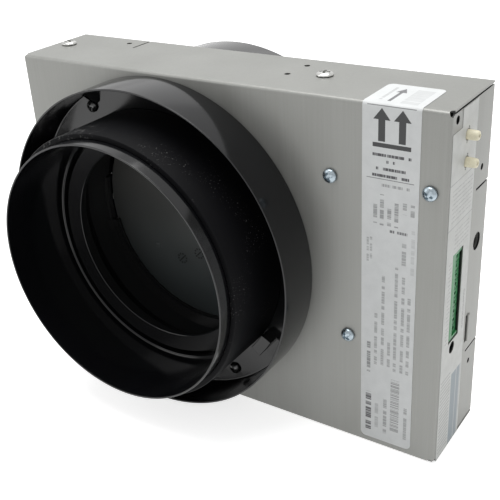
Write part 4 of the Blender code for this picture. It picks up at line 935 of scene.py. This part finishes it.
def bladePlastic():
    # matt moulding, painted darker and cooler towards its foot as shade, with two rings of dimples
    # painted near black as shade in them
    look = bladeLook
    material, shader, place = newFinish("bladePlastic", (0.11, 0.11, 0.105), 0.42,
                                        Specular_IOR_Level=0.5)
    x, y, z = place.axes()
    fine = place.noise(900, 4, 0.65)
    flow = place.stretch((0.5, 1, 1.6)).noise(18, 3, 0.5)
    mark = y * 0
    radius, width = look["dimpleRadius"], look["dimpleWidth"]
    for spotX, spotZ in look["dimpleRings"]:
        across, up = x - (ductX + spotX), z - (ductZ + spotZ)
        far = (across * across + up * up).maths("SQRT")
        turn = up.maths("ARCTAN2", across) * 10
        mark = mark + (far - radius).size().below(width) * turn.maths("SINE").above(-0.2)
        mark = mark + (across - up).size().below(width) * far.below(radius * 0.7)
    mark = mark * y.below(look["frontY"] + 0.0002)
    # painted shade: the blade's lower part is painted darker and cooler, standing in for less
    # light falling there through the throat
    shadeByHeight = (z - ductZ).ramp(-0.05, 0.03)
    shade = shadeByHeight.blend((0.068, 0.080, 0.082, 1), (0.096, 0.095, 0.088, 1))
    haze = (flow * 0.6 + fine * 0.4).ramp(0.35, 0.65, 0.16, 0.0)
    shade = haze.blend(shade, (0.05, 0.05, 0.05, 1))
    # painted shade: the dimples are painted near black as well as bumped in
    shade = mark.ramp(0, 1, 0, 0.95).blend(shade, (0.003, 0.003, 0.003, 1))
    dimpled = mark.ramp(1, 0).bump(0.8, 0.0003, fine.bump(0.10, 0.00004))
    feed(shader, Base_Color=shade, Roughness=flow.ramp(0.3, 0.7, 0.36, 0.46), Normal=dimpled)
    return material


# Terminal plug and pressure ports

plugLook = {
    "poles": 9,
    "pitch": 0.00508,
    "endWall": 0.0015,
    "recess": 0.0010,
    "bandWidth": 0.0045,
    "wireHole": 0.0010,
    "wireOffset": 0.0028,
    "pinHole": (0.0008, 0.0053),
    "groove": 0.0004,
}


def makePlug():
    look = plugLook
    low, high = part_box("terminal_plug")
    midY = (low.y + high.y) / 2
    wireY = midY + look["wireOffset"]
    plug = soften(addBox("terminalPlug", low, high), 0.0003, 3)
    bandBack, floor = low.y + look["bandWidth"], high.x - look["recess"]
    tools = [addBox("tool", (floor, bandBack, low.z + look["endWall"]),
                    (high.x + 0.002, high.y + 0.002, high.z - look["endWall"]))]
    half, (pinRadius, pinDepth) = look["groove"] / 2, look["pinHole"]
    for i in range(look["poles"]):
        z = low.z + look["endWall"] + look["pitch"] * (i + 0.5)
        tools.append(addRod("tool", look["wireHole"], (high.x - 0.006, wireY, z),
                            (high.x + 0.002, wireY, z), 28))
        tools.append(addRod("tool", pinRadius, (low.x - 0.002, midY, z),
                            (low.x + pinDepth, midY, z), 16))
        if i:
            edge = z - look["pitch"] / 2
            tools.append(addBox("tool", (floor - 0.0005, bandBack + 0.0006, edge - half),
                                (floor + 0.001, high.y + 0.002, edge + half)))
    cut(plug, *tools)
    smooth(plug, 30)
    mount(paint(plug, plugPlastic()), "plug", "green_plastic", "terminal_plug")


def plugPlastic():
    # green moulding with painted shade: darker down in the recess, where the wire holes go in, and
    # the holes painted near black
    low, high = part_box("terminal_plug")
    floor = high.x - plugLook["recess"]
    material, shader, place = newFinish("plugPlastic", (0.05, 0.30, 0.11), 0.36,
                                        Specular_IOR_Level=0.45)
    x, y, z = place.axes()
    fine = place.noise(1500, 3, 0.6)
    broad = place.noise(60, 3, 0.55)
    # painted shade: the recess floor is painted a darker green
    deep = x.ramp(floor - 0.0010, high.x - 0.0006, 1, 0)
    # painted shade: the insides of the holes are painted near black
    holes = x.below(floor - 0.0005) * x.above(low.x + 0.0040)
    dots = place.cells(420.0).below(0.22)
    shade = (broad * 0.6 + fine * 0.4).ramp(0.3, 0.7)
    shade = shade.blend((0.026, 0.185, 0.062, 1), (0.045, 0.27, 0.095, 1))
    shade = deep.blend(shade, (0.030, 0.19, 0.068, 1))
    shade = (dots * deep * 0.5).blend(shade, (0.34, 0.50, 0.34, 1))
    shade = holes.blend(shade, (0.003, 0.006, 0.004, 1))
    feed(shader, Base_Color=shade, Roughness=broad.ramp(0.3, 0.7, 0.30, 0.42),
         Normal=fine.bump(0.08, 0.00004))
    return material


def makePort(name, node):
    # a spigot with a rounded tip, held by a flange behind the side sheet
    low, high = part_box(node)
    wall = caseHigh.x - sheet
    place = (wall, (low.y + high.y) / 2, (low.z + high.z) / 2)
    tip, flange = high.x - wall, 0.0014
    inner = -gap - flange - 0.0061
    port = spinRound(name, [
        (0.0008, 0.0032), (0.0008, tip - 0.0004), (0.0010, tip - 0.0001), (0.0013, tip),
        (0.0017, tip - 0.0001), (0.0020, tip - 0.0003), (0.0022, tip - 0.0007),
        (0.0023, tip - 0.0013), (0.0024, tip - 0.0024),
        (0.0024, -gap), (0.0032, -gap), (0.0032, -gap - flange), (0.0024, -gap - flange),
        (0.0024, inner), (0.0019, inner), (0.0019, 0),
    ], place, (1, 0, 0), steps=64)
    smooth(port, 40)
    mount(paint(port, ivoryPlastic), "case", "ivory_plastic", node)


# Labels: plain rules, upright arrows and broken grey bars

frontLabelLook = {
    "lowX": 0.0869,
    "highX": 0.1155,
    "lowZ": 0.004,
    "backY": 0.0025,
    "corner": 0.003,
    "thickness": 0.00012,
    "lift": 0.00005,
    "arrows": (0.0966, 0.10665),
    "arrowTip": 0.1885,
    "arrowHead": 0.0054,
    "arrowHalf": 0.0042,
    "shaftHalf": 0.0017,
    "shaftLow": 0.1729,
    "bar": (0.0922, 0.1110, 0.17005, 0.17215),
    "rules": (0.1895, 0.15475),
    # middle height, low x, high x, darkness
    "rows": ((0.1664, 0.0921, 0.1113, 1.5), (0.1634, 0.0991, 0.1034, 1.5),
             (0.1598, 0.0940, 0.1087, 1.5), (0.1564, 0.0921, 0.1105, 1.5),
             (0.1518, 0.0970, 0.1108, 0.55), (0.1291, 0.1015, 0.1104, 0.9)),
    "rowHalf": 0.0007,
    # middle x, low z, high z, half width, darkness
    "columns": ((0.0939, 0.1319, 0.1421, 0.0010, 0.60), (0.0973, 0.1312, 0.1472, 0.0010, 0.60),
                (0.1011, 0.1316, 0.1405, 0.0010, 0.60), (0.1047, 0.1315, 0.1439, 0.0010, 0.60),
                (0.1088, 0.1390, 0.1447, 0.0010, 0.55), (0.1127, 0.1385, 0.1446, 0.0010, 0.55),
                (0.0902, 0.1096, 0.1245, 0.0006, 0.45), (0.0919, 0.1125, 0.1242, 0.0006, 0.45),
                (0.1090, 0.1125, 0.1245, 0.0011, 0.50), (0.1134, 0.1081, 0.1317, 0.0009, 0.20),
                (0.0950, 0.0519, 0.0824, 0.0008, 0.50), (0.0987, 0.0520, 0.1045, 0.0008, 0.50),
                (0.1022, 0.0516, 0.0674, 0.0008, 0.50), (0.1055, 0.0506, 0.1109, 0.0008, 0.50),
                (0.1092, 0.0508, 0.1062, 0.0008, 0.50), (0.1124, 0.0509, 0.0961, 0.0008, 0.50),
                (0.0912, 0.0462, 0.0650, 0.0010, 0.70), (0.0960, 0.0118, 0.0278, 0.0010, 0.35),
                (0.1008, 0.0090, 0.0318, 0.0010, 0.55), (0.1122, 0.0096, 0.0300, 0.0009, 0.50),
                (0.0913, 0.0090, 0.0338, 0.0016, 1.00)),
    "narrowBars": (0.1038, 0.1086, 0.0127, 0.0455),
    # the arrow on the top flange: middle x, tail y, tip y
    "topArrow": (0.0979, -0.0224, -0.0030),
    "topBars": ((0.0925, 0.0940, -0.0215, -0.0020), (0.1035, 0.1120, -0.0235, -0.0010)),
}

sideLabelLook = {
    "outline": ((-0.0130, 0.1884), (0.0055, 0.1884), (0.0055, 0.0005), (-0.0240, 0.0005),
                (-0.0240, 0.1797), (-0.0130, 0.1797)),
    "thickness": 0.00012,
    "lift": 0.00005,
    "portHole": 0.0030,
    "plugRoom": 0.0006,
    "rules": (0.1555, 0.1332),
    "linePitch": 0.0011,
}


def makeFrontLabel():
    look = frontLabelLook
    bend, lift = caseLook["bendRadius"], look["lift"]
    front, top = caseLow.y - lift, caseHigh.z + lift
    points = [Vector((look["lowX"], front, look["lowZ"]))]
    for i in range(9):
        angle = math.pi / 2 * i / 8
        points.append(Vector((look["lowX"], caseLow.y + bend - (bend + lift) * math.cos(angle),
                              caseHigh.z - bend + (bend + lift) * math.sin(angle))))
    points.append(Vector((look["lowX"], look["backY"], top)))
    label = startLine("frontLabel", points)
    bpy.ops.mesh.select_all(action="SELECT")
    width = (look["highX"] - look["lowX"], 0, 0)
    bpy.ops.mesh.extrude_region_move(TRANSFORM_OT_translate={"value": width})
    bpy.ops.object.mode_set(mode="OBJECT")
    settle(label)
    for corner in label.data.vertices:
        corner.select = corner.co.z < look["lowZ"] + 0.0001 or corner.co.y > look["backY"] - 0.0001
    for part in list(label.data.edges) + list(label.data.polygons):
        part.select = False
    pick(label)
    bpy.ops.object.mode_set(mode="EDIT")
    bpy.ops.mesh.select_mode(type="VERT")
    bpy.ops.mesh.bevel(offset=look["corner"], segments=8, affect="VERTICES")
    closeEdit()
    if label.data.polygons[0].normal.y > 0.5:
        editAll(label)
        bpy.ops.mesh.flip_normals()
        bpy.ops.object.mode_set(mode="OBJECT")
    modify(label, "SOLIDIFY", thickness=look["thickness"], offset=1)
    smooth(label, 40)
    mount(paint(label, frontPaper()), "case", None)


def makeSideLabel():
    look = sideLabelLook
    x = caseHigh.x + look["lift"]
    label = slab("sideLabel", [Vector((x, y, z)) for y, z in look["outline"]],
                 Vector((look["thickness"], 0, 0)))
    covered = [hole for hole in caseLook["sideHoles"]
               if -0.024 < hole[0] < 0.0055 and hole[1] < 0.18]
    tools = [drill(radius, (x, holeY, holeZ), (1, 0, 0), 0.001)
             for holeY, holeZ, radius in portHoles(look["portHole"]) + covered]
    cut(label, *tools, plugCutter(x, 0.001, look["plugRoom"]))
    smooth(label, 30)
    mount(paint(label, sidePaper()), "case", None)


def inBox(across, up, lowA, highA, lowU, highU):
    return across.above(lowA) * across.below(highA) * up.above(lowU) * up.below(highU)


def brokenBar(along, seed):
    # fine ticks with wider gaps between groups
    ticks, groups = [(along + seed * 50).lineNoise(scale) for scale in (1700.0, 330.0)]
    return ticks.ramp(0.36, 0.52, 0.35, 1.0) * groups.ramp(0.36, 0.42)


def paperRelief(place):
    return place.noise(1800, 3, 0.6).bump(0.08, 0.00003)


def frontPaper():
    look = frontLabelLook
    material, shader, place = newFinish("frontPaper", (0.66, 0.67, 0.67), 0.45)
    x, y, z = place.axes()
    onFront = y.below(caseLow.y + 0.0016)
    ink = inBox(x, z, *look["bar"])
    tip, half = look["arrowTip"], look["shaftHalf"]
    headLow, slope = tip - look["arrowHead"], look["arrowHalf"] / look["arrowHead"]
    for middle in look["arrows"]:
        ink = ink + inBox(x, z, middle - half, middle + half, look["shaftLow"], headLow + 0.0002)
        head = ((x - middle).size() - (tip - z) * slope).below(0.0) * z.above(headLow)
        ink = ink + head * z.below(tip)
    left, right = look["lowX"] + 0.0024, look["highX"] - 0.0026
    for height in look["rules"]:
        ink = ink + inBox(x, z, left, right, height - 0.0002, height + 0.0002) * 0.7
    bars, half = y * 0, look["rowHalf"]
    for middle, low, high, dark in look["rows"]:
        bar = inBox(x, z, low, high, middle - half, middle + half)
        bars = bars + bar * brokenBar(x, middle) * dark
    for middle, low, high, half, dark in look["columns"]:
        bar = inBox(x, z, middle - half, middle + half, low, high)
        bars = bars + bar * brokenBar(z, middle) * dark
    bars = bars + z.lineNoise(1500.0).above(0.5) * inBox(x, z, *look["narrowBars"]) * 0.6
    middle, tail, tip = look["topArrow"]
    head = ((x - middle).size() - (tip - y) * 0.45).below(0.0)
    head = head * inBox(x, y, 0, 1, tip - 0.006, tip)
    shaft = inBox(x, y, middle - 0.0008, middle + 0.0008, tail, tip - 0.0058)
    first, second = [inBox(x, y, *edges) for edges in look["topBars"]]
    side = first + second * 0.6
    upper = (head + shaft + side * brokenBar(y, 0) * 0.4) * 0.85
    ink = ink * onFront
    grey = bars * onFront + upper * y.above(caseLow.y + 0.0018)
    worn = place.noise(160, 4, 0.6)
    paper = worn.ramp(0.3, 0.7).blend((0.60, 0.615, 0.615, 1), (0.66, 0.675, 0.675, 1))
    shade = grey.ramp(0, 1).blend(paper, (0.06, 0.06, 0.065, 1))
    shade = ink.ramp(0, 1, 0, 0.97).blend(shade, (0.014, 0.015, 0.016, 1))
    feed(shader, Base_Color=shade, Normal=paperRelief(place))
    return material


def sidePaper():
    look = sideLabelLook
    material, shader, place = newFinish("sidePaper", (0.68, 0.68, 0.66), 0.5)
    x, y, z = place.axes()
    upper, lower = look["rules"]
    strokes = place.noise(1100, 1, 0.4).ramp(0.36, 0.56)
    rows = z.maths("PINGPONG", look["linePitch"])
    lines = rows.below(0.00035) * strokes
    middle = inBox(y, z, -0.0205, 0.0040, lower + 0.002, upper - 0.002) * lines
    middle = middle + inBox(y, z, -0.0150, 0.0030, 0.1190, lower - 0.002) * lines
    beside = inBox(y, z, -0.0205, -0.0170, 0.0690, 0.1160) * lines
    beside = beside + inBox(y, z, 0.0012, 0.0032, 0.0680, 0.0910) * strokes
    foot = inBox(y, z, -0.0225, -0.0100, 0.0030, 0.0490) * rows.below(0.0004)
    block = inBox(y, z, -0.0085, 0.0045, 0.0010, 0.0460)
    bands = block * (y.above(0.0026) + inBox(y, y, -0.0022, -0.0012, -1, 1)).below(0.5)
    rule = y * 0
    for height in look["rules"]:
        rule = rule + inBox(y, z, -0.0240, 0.0055, height - 0.00025, height + 0.00025)
    worn = place.noise(140, 4, 0.6)
    paper = worn.ramp(0.3, 0.7).blend((0.54, 0.55, 0.53, 1), (0.63, 0.64, 0.62, 1))
    ink = (middle * 0.45 + beside * 0.5 + foot * 0.5 + rule * 0.5).ramp(0, 1)
    shade = ink.blend(paper, (0.20, 0.20, 0.21, 1))
    shade = (block * 0.30 + bands * 0.55).ramp(0, 1).blend(shade, (0.22, 0.27, 0.31, 1))
    feed(shader, Base_Color=shade, Normal=paperRelief(place))
    return material


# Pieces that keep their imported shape

def dressNodes():
    nylon = plasticFinish("whiteNylon", (0.62, 0.61, 0.57), 0.42, 0.5)
    switchBlack = plasticFinish("switchBlack", (0.02, 0.02, 0.021), 0.38, 0.45)
    gearGrey = plasticFinish("gearGrey", (0.19, 0.19, 0.19), 0.5, 0.4)
    relayBlue = plasticFinish("relayBlue", (0.015, 0.07, 0.30), 0.32, 0.5)
    steel = metalFinish("turnedSteel", (0.55, 0.55, 0.54), 0.28)
    zincScrew = metalFinish("plainZinc", (0.50, 0.52, 0.54), 0.32)
    wear = {
        zincSheet: ["rear_cover", "motor_bracket", "board_carrier"],
        blackRubber: ["stop_gasket_front", "stop_gasket_rear"],
        steel: ["motor_case", "motor_shaft", "blade_shaft",
                "upper_switch_lever", "lower_switch_lever"],
        zincScrew: ["motor_screw_upper", "motor_screw_lower",
                    "blade_screw_left", "blade_screw_right"],
        gearGrey: ["motor_gearbox"],
        nylon: ["shaft_coupling", "shaft_bush_left", "shaft_bush_right"]
               + [f"board_spacer_{i}" for i in range(1, 5)],
        switchBlack: ["upper_switch_body", "lower_switch_body", "pressure_sensor", "capacitor"],
        relayBlue: ["relay"],
        greenPlastic: ["terminal_header"],
        boardFinish(): ["circuit_board"],
    }
    for material, nodes in wear.items():
        for node in nodes:
            paint(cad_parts[node], material)


# Floor, light and camera

stageLook = {
    "floorSize": 8.0,
    "floorDrop": 0.0002,
    "floorGlow": 0.72,
    "floorTone": 0.78,
    "worldLight": 0.47,
    "cameraPlace": (0.2562, -0.3627, 0.3096),
    "cameraRight": (0.834, 0.54908, -0.05442),
    "cameraUp": (-0.20975, 0.4067, 0.88916),
    "cameraBack": (0.51035, -0.73014, 0.45435),
    "lens": 62.45,
    # name: place, aim, width, height, power
    "lamps": {
        "topSoftbox": ((-0.10, 0.05, 1.45), (0, 0, 0.1), 1.3, 1.0, 19.0),
        "backSoftbox": ((-0.85, 1.25, 1.15), (0, 0, 0.15), 1.1, 0.8, 1.0),
        "leftSoftbox": ((-1.15, -0.85, 0.75), (-0.02, 0, 0.1), 0.9, 1.1, 3.5),
        "rightSoftbox": ((1.30, -0.25, 0.60), (0.05, 0, 0.1), 0.8, 1.1, 0.05),
    },
}


def makeStage():
    clearSelection()
    floorZ = caseLow.z - stageLook["floorDrop"]
    bpy.ops.mesh.primitive_plane_add(size=stageLook["floorSize"], location=(0, 0, floorZ))
    floor = newPiece("floor")
    tone = stageLook["floorTone"]
    material = bpy.data.materials.new("paleFloor")
    material.use_nodes = True
    tree = material.node_tree
    tree.nodes.remove(tree.nodes["Principled BSDF"])
    start = Wire(tree)
    place = start.make("ShaderNodeTexCoord", out=3)
    dark, light = [(level, level, level, 1) for level in (tone, tone + 0.02)]
    colour = place.noise(3, 2).blend(dark, light)
    matt = start.make("ShaderNodeBsdfDiffuse", None, {"Color": colour})
    glow = start.make("ShaderNodeEmission", None, {"Strength": stageLook["floorGlow"]})
    both = start.make("ShaderNodeAddShader", None, {0: matt, 1: glow})
    shown = start.make("ShaderNodeMixShader", None, {0: seenDirectly(start), 1: matt, 2: both})
    tree.links.new(shown.socket, tree.nodes["Material Output"].inputs[0])
    paint(floor, material)


def seenDirectly(start):
    # 1 for what the camera sees, straight or in metal and glass
    seen = [start.make("ShaderNodeLightPath", out=name)
            for name in ("Is Camera Ray", "Is Glossy Ray", "Is Transmission Ray")]
    return seen[0].maths("MAXIMUM", seen[1]).maths("MAXIMUM", seen[2])


def makeWorld():
    world = bpy.data.worlds.new("studio")
    bpy.context.scene.world = world
    world.use_nodes = True
    tree = world.node_tree
    start = Wire(tree)
    soft, white = [start.make("ShaderNodeBackground", None,
                              {"Color": (1, 1, 1, 1), "Strength": light})
                   for light in (stageLook["worldLight"], 1.0)]
    mixed = start.make("ShaderNodeMixShader", None, {0: seenDirectly(start), 1: soft, 2: white})
    tree.links.new(mixed.socket, tree.nodes["World Output"].inputs[0])


def makeLamps():
    for name, (place, aim, width, height, power) in stageLook["lamps"].items():
        clearSelection()
        turn = (Vector(place) - Vector(aim)).to_track_quat("Z", "Y").to_euler()
        bpy.ops.object.light_add(type="AREA", location=place, rotation=turn)
        lamp = bpy.context.object
        lamp.name = name
        lamp.data.shape = "RECTANGLE"
        lamp.data.size = width
        lamp.data.size_y = height
        lamp.data.energy = power


def makeCamera():
    look = stageLook
    columns = [Vector(look[key]).normalized() for key in ("cameraRight", "cameraUp", "cameraBack")]
    clearSelection()
    turn = Matrix(columns).transposed().to_euler()
    bpy.ops.object.camera_add(location=look["cameraPlace"], rotation=turn)
    camera = bpy.context.object
    camera.name = "photoCamera"
    camera.data.lens = look["lens"]
    camera.data.sensor_width = 36
    bpy.context.scene.camera = camera
    bpy.context.scene.view_settings.view_transform = "Standard"


# Making it all

zincSheet = galvanised("galvanisedSteel")
# the case sheet carries painted shade on its inner faces and cut edges
caseSheet = galvanised("caseSteel", paintedShade=True)
blackPlastic = plasticFinish("blackPlastic", (0.0042, 0.0044, 0.0052), 0.14, 0.46, 0.03, 0.02)
blackFoam = specked("blackFoam", (0.0030, 0.0031, 0.0038), 0.6, 0.08, 0.8)
blackRubber = plasticFinish("blackRubber", (0.012, 0.012, 0.012), 0.75, 0.3, 0.3)
blackScrew = metalFinish("blackScrew", (0.10, 0.10, 0.10), 0.22, 0.8)
blueZinc = metalFinish("blueZinc", (0.36, 0.42, 0.46), 0.24)
brightSteel = metalFinish("brightSteel", (0.62, 0.62, 0.60), 0.22)
greenPlastic = plasticFinish("greenPlastic", (0.045, 0.28, 0.10), 0.38, 0.45)
ivoryPlastic = plasticFinish("ivoryPlastic", (0.88, 0.82, 0.62), 0.45, 0.45)

makeCaseShell()
print("damper: case")
for side, name in ((-1, "front"), (1, "rear")):
    makeOuterCollar(f"{name}Collar", f"{name}_outer_collar", side)
    makeDuctTube(f"{name}Tube", f"{name}_duct_tube", side)
    makeFoamSeal(f"{name}Foam", f"{name}_foam_seal", side)
print("damper: duct connections")
makeScrews()
print("damper: screws")
makeDamperBody()
makeBlade()
print("damper: throat and blade")
makePlug()
makePort("upperPort", "pressure_port_upper")
makePort("lowerPort", "pressure_port_lower")
print("damper: plug and ports")
makeFrontLabel()
makeSideLabel()
dressNodes()
print("damper: labels and inner parts")
makeStage()
makeWorld()
makeLamps()
makeCamera()
print("damper: stage, light and camera")
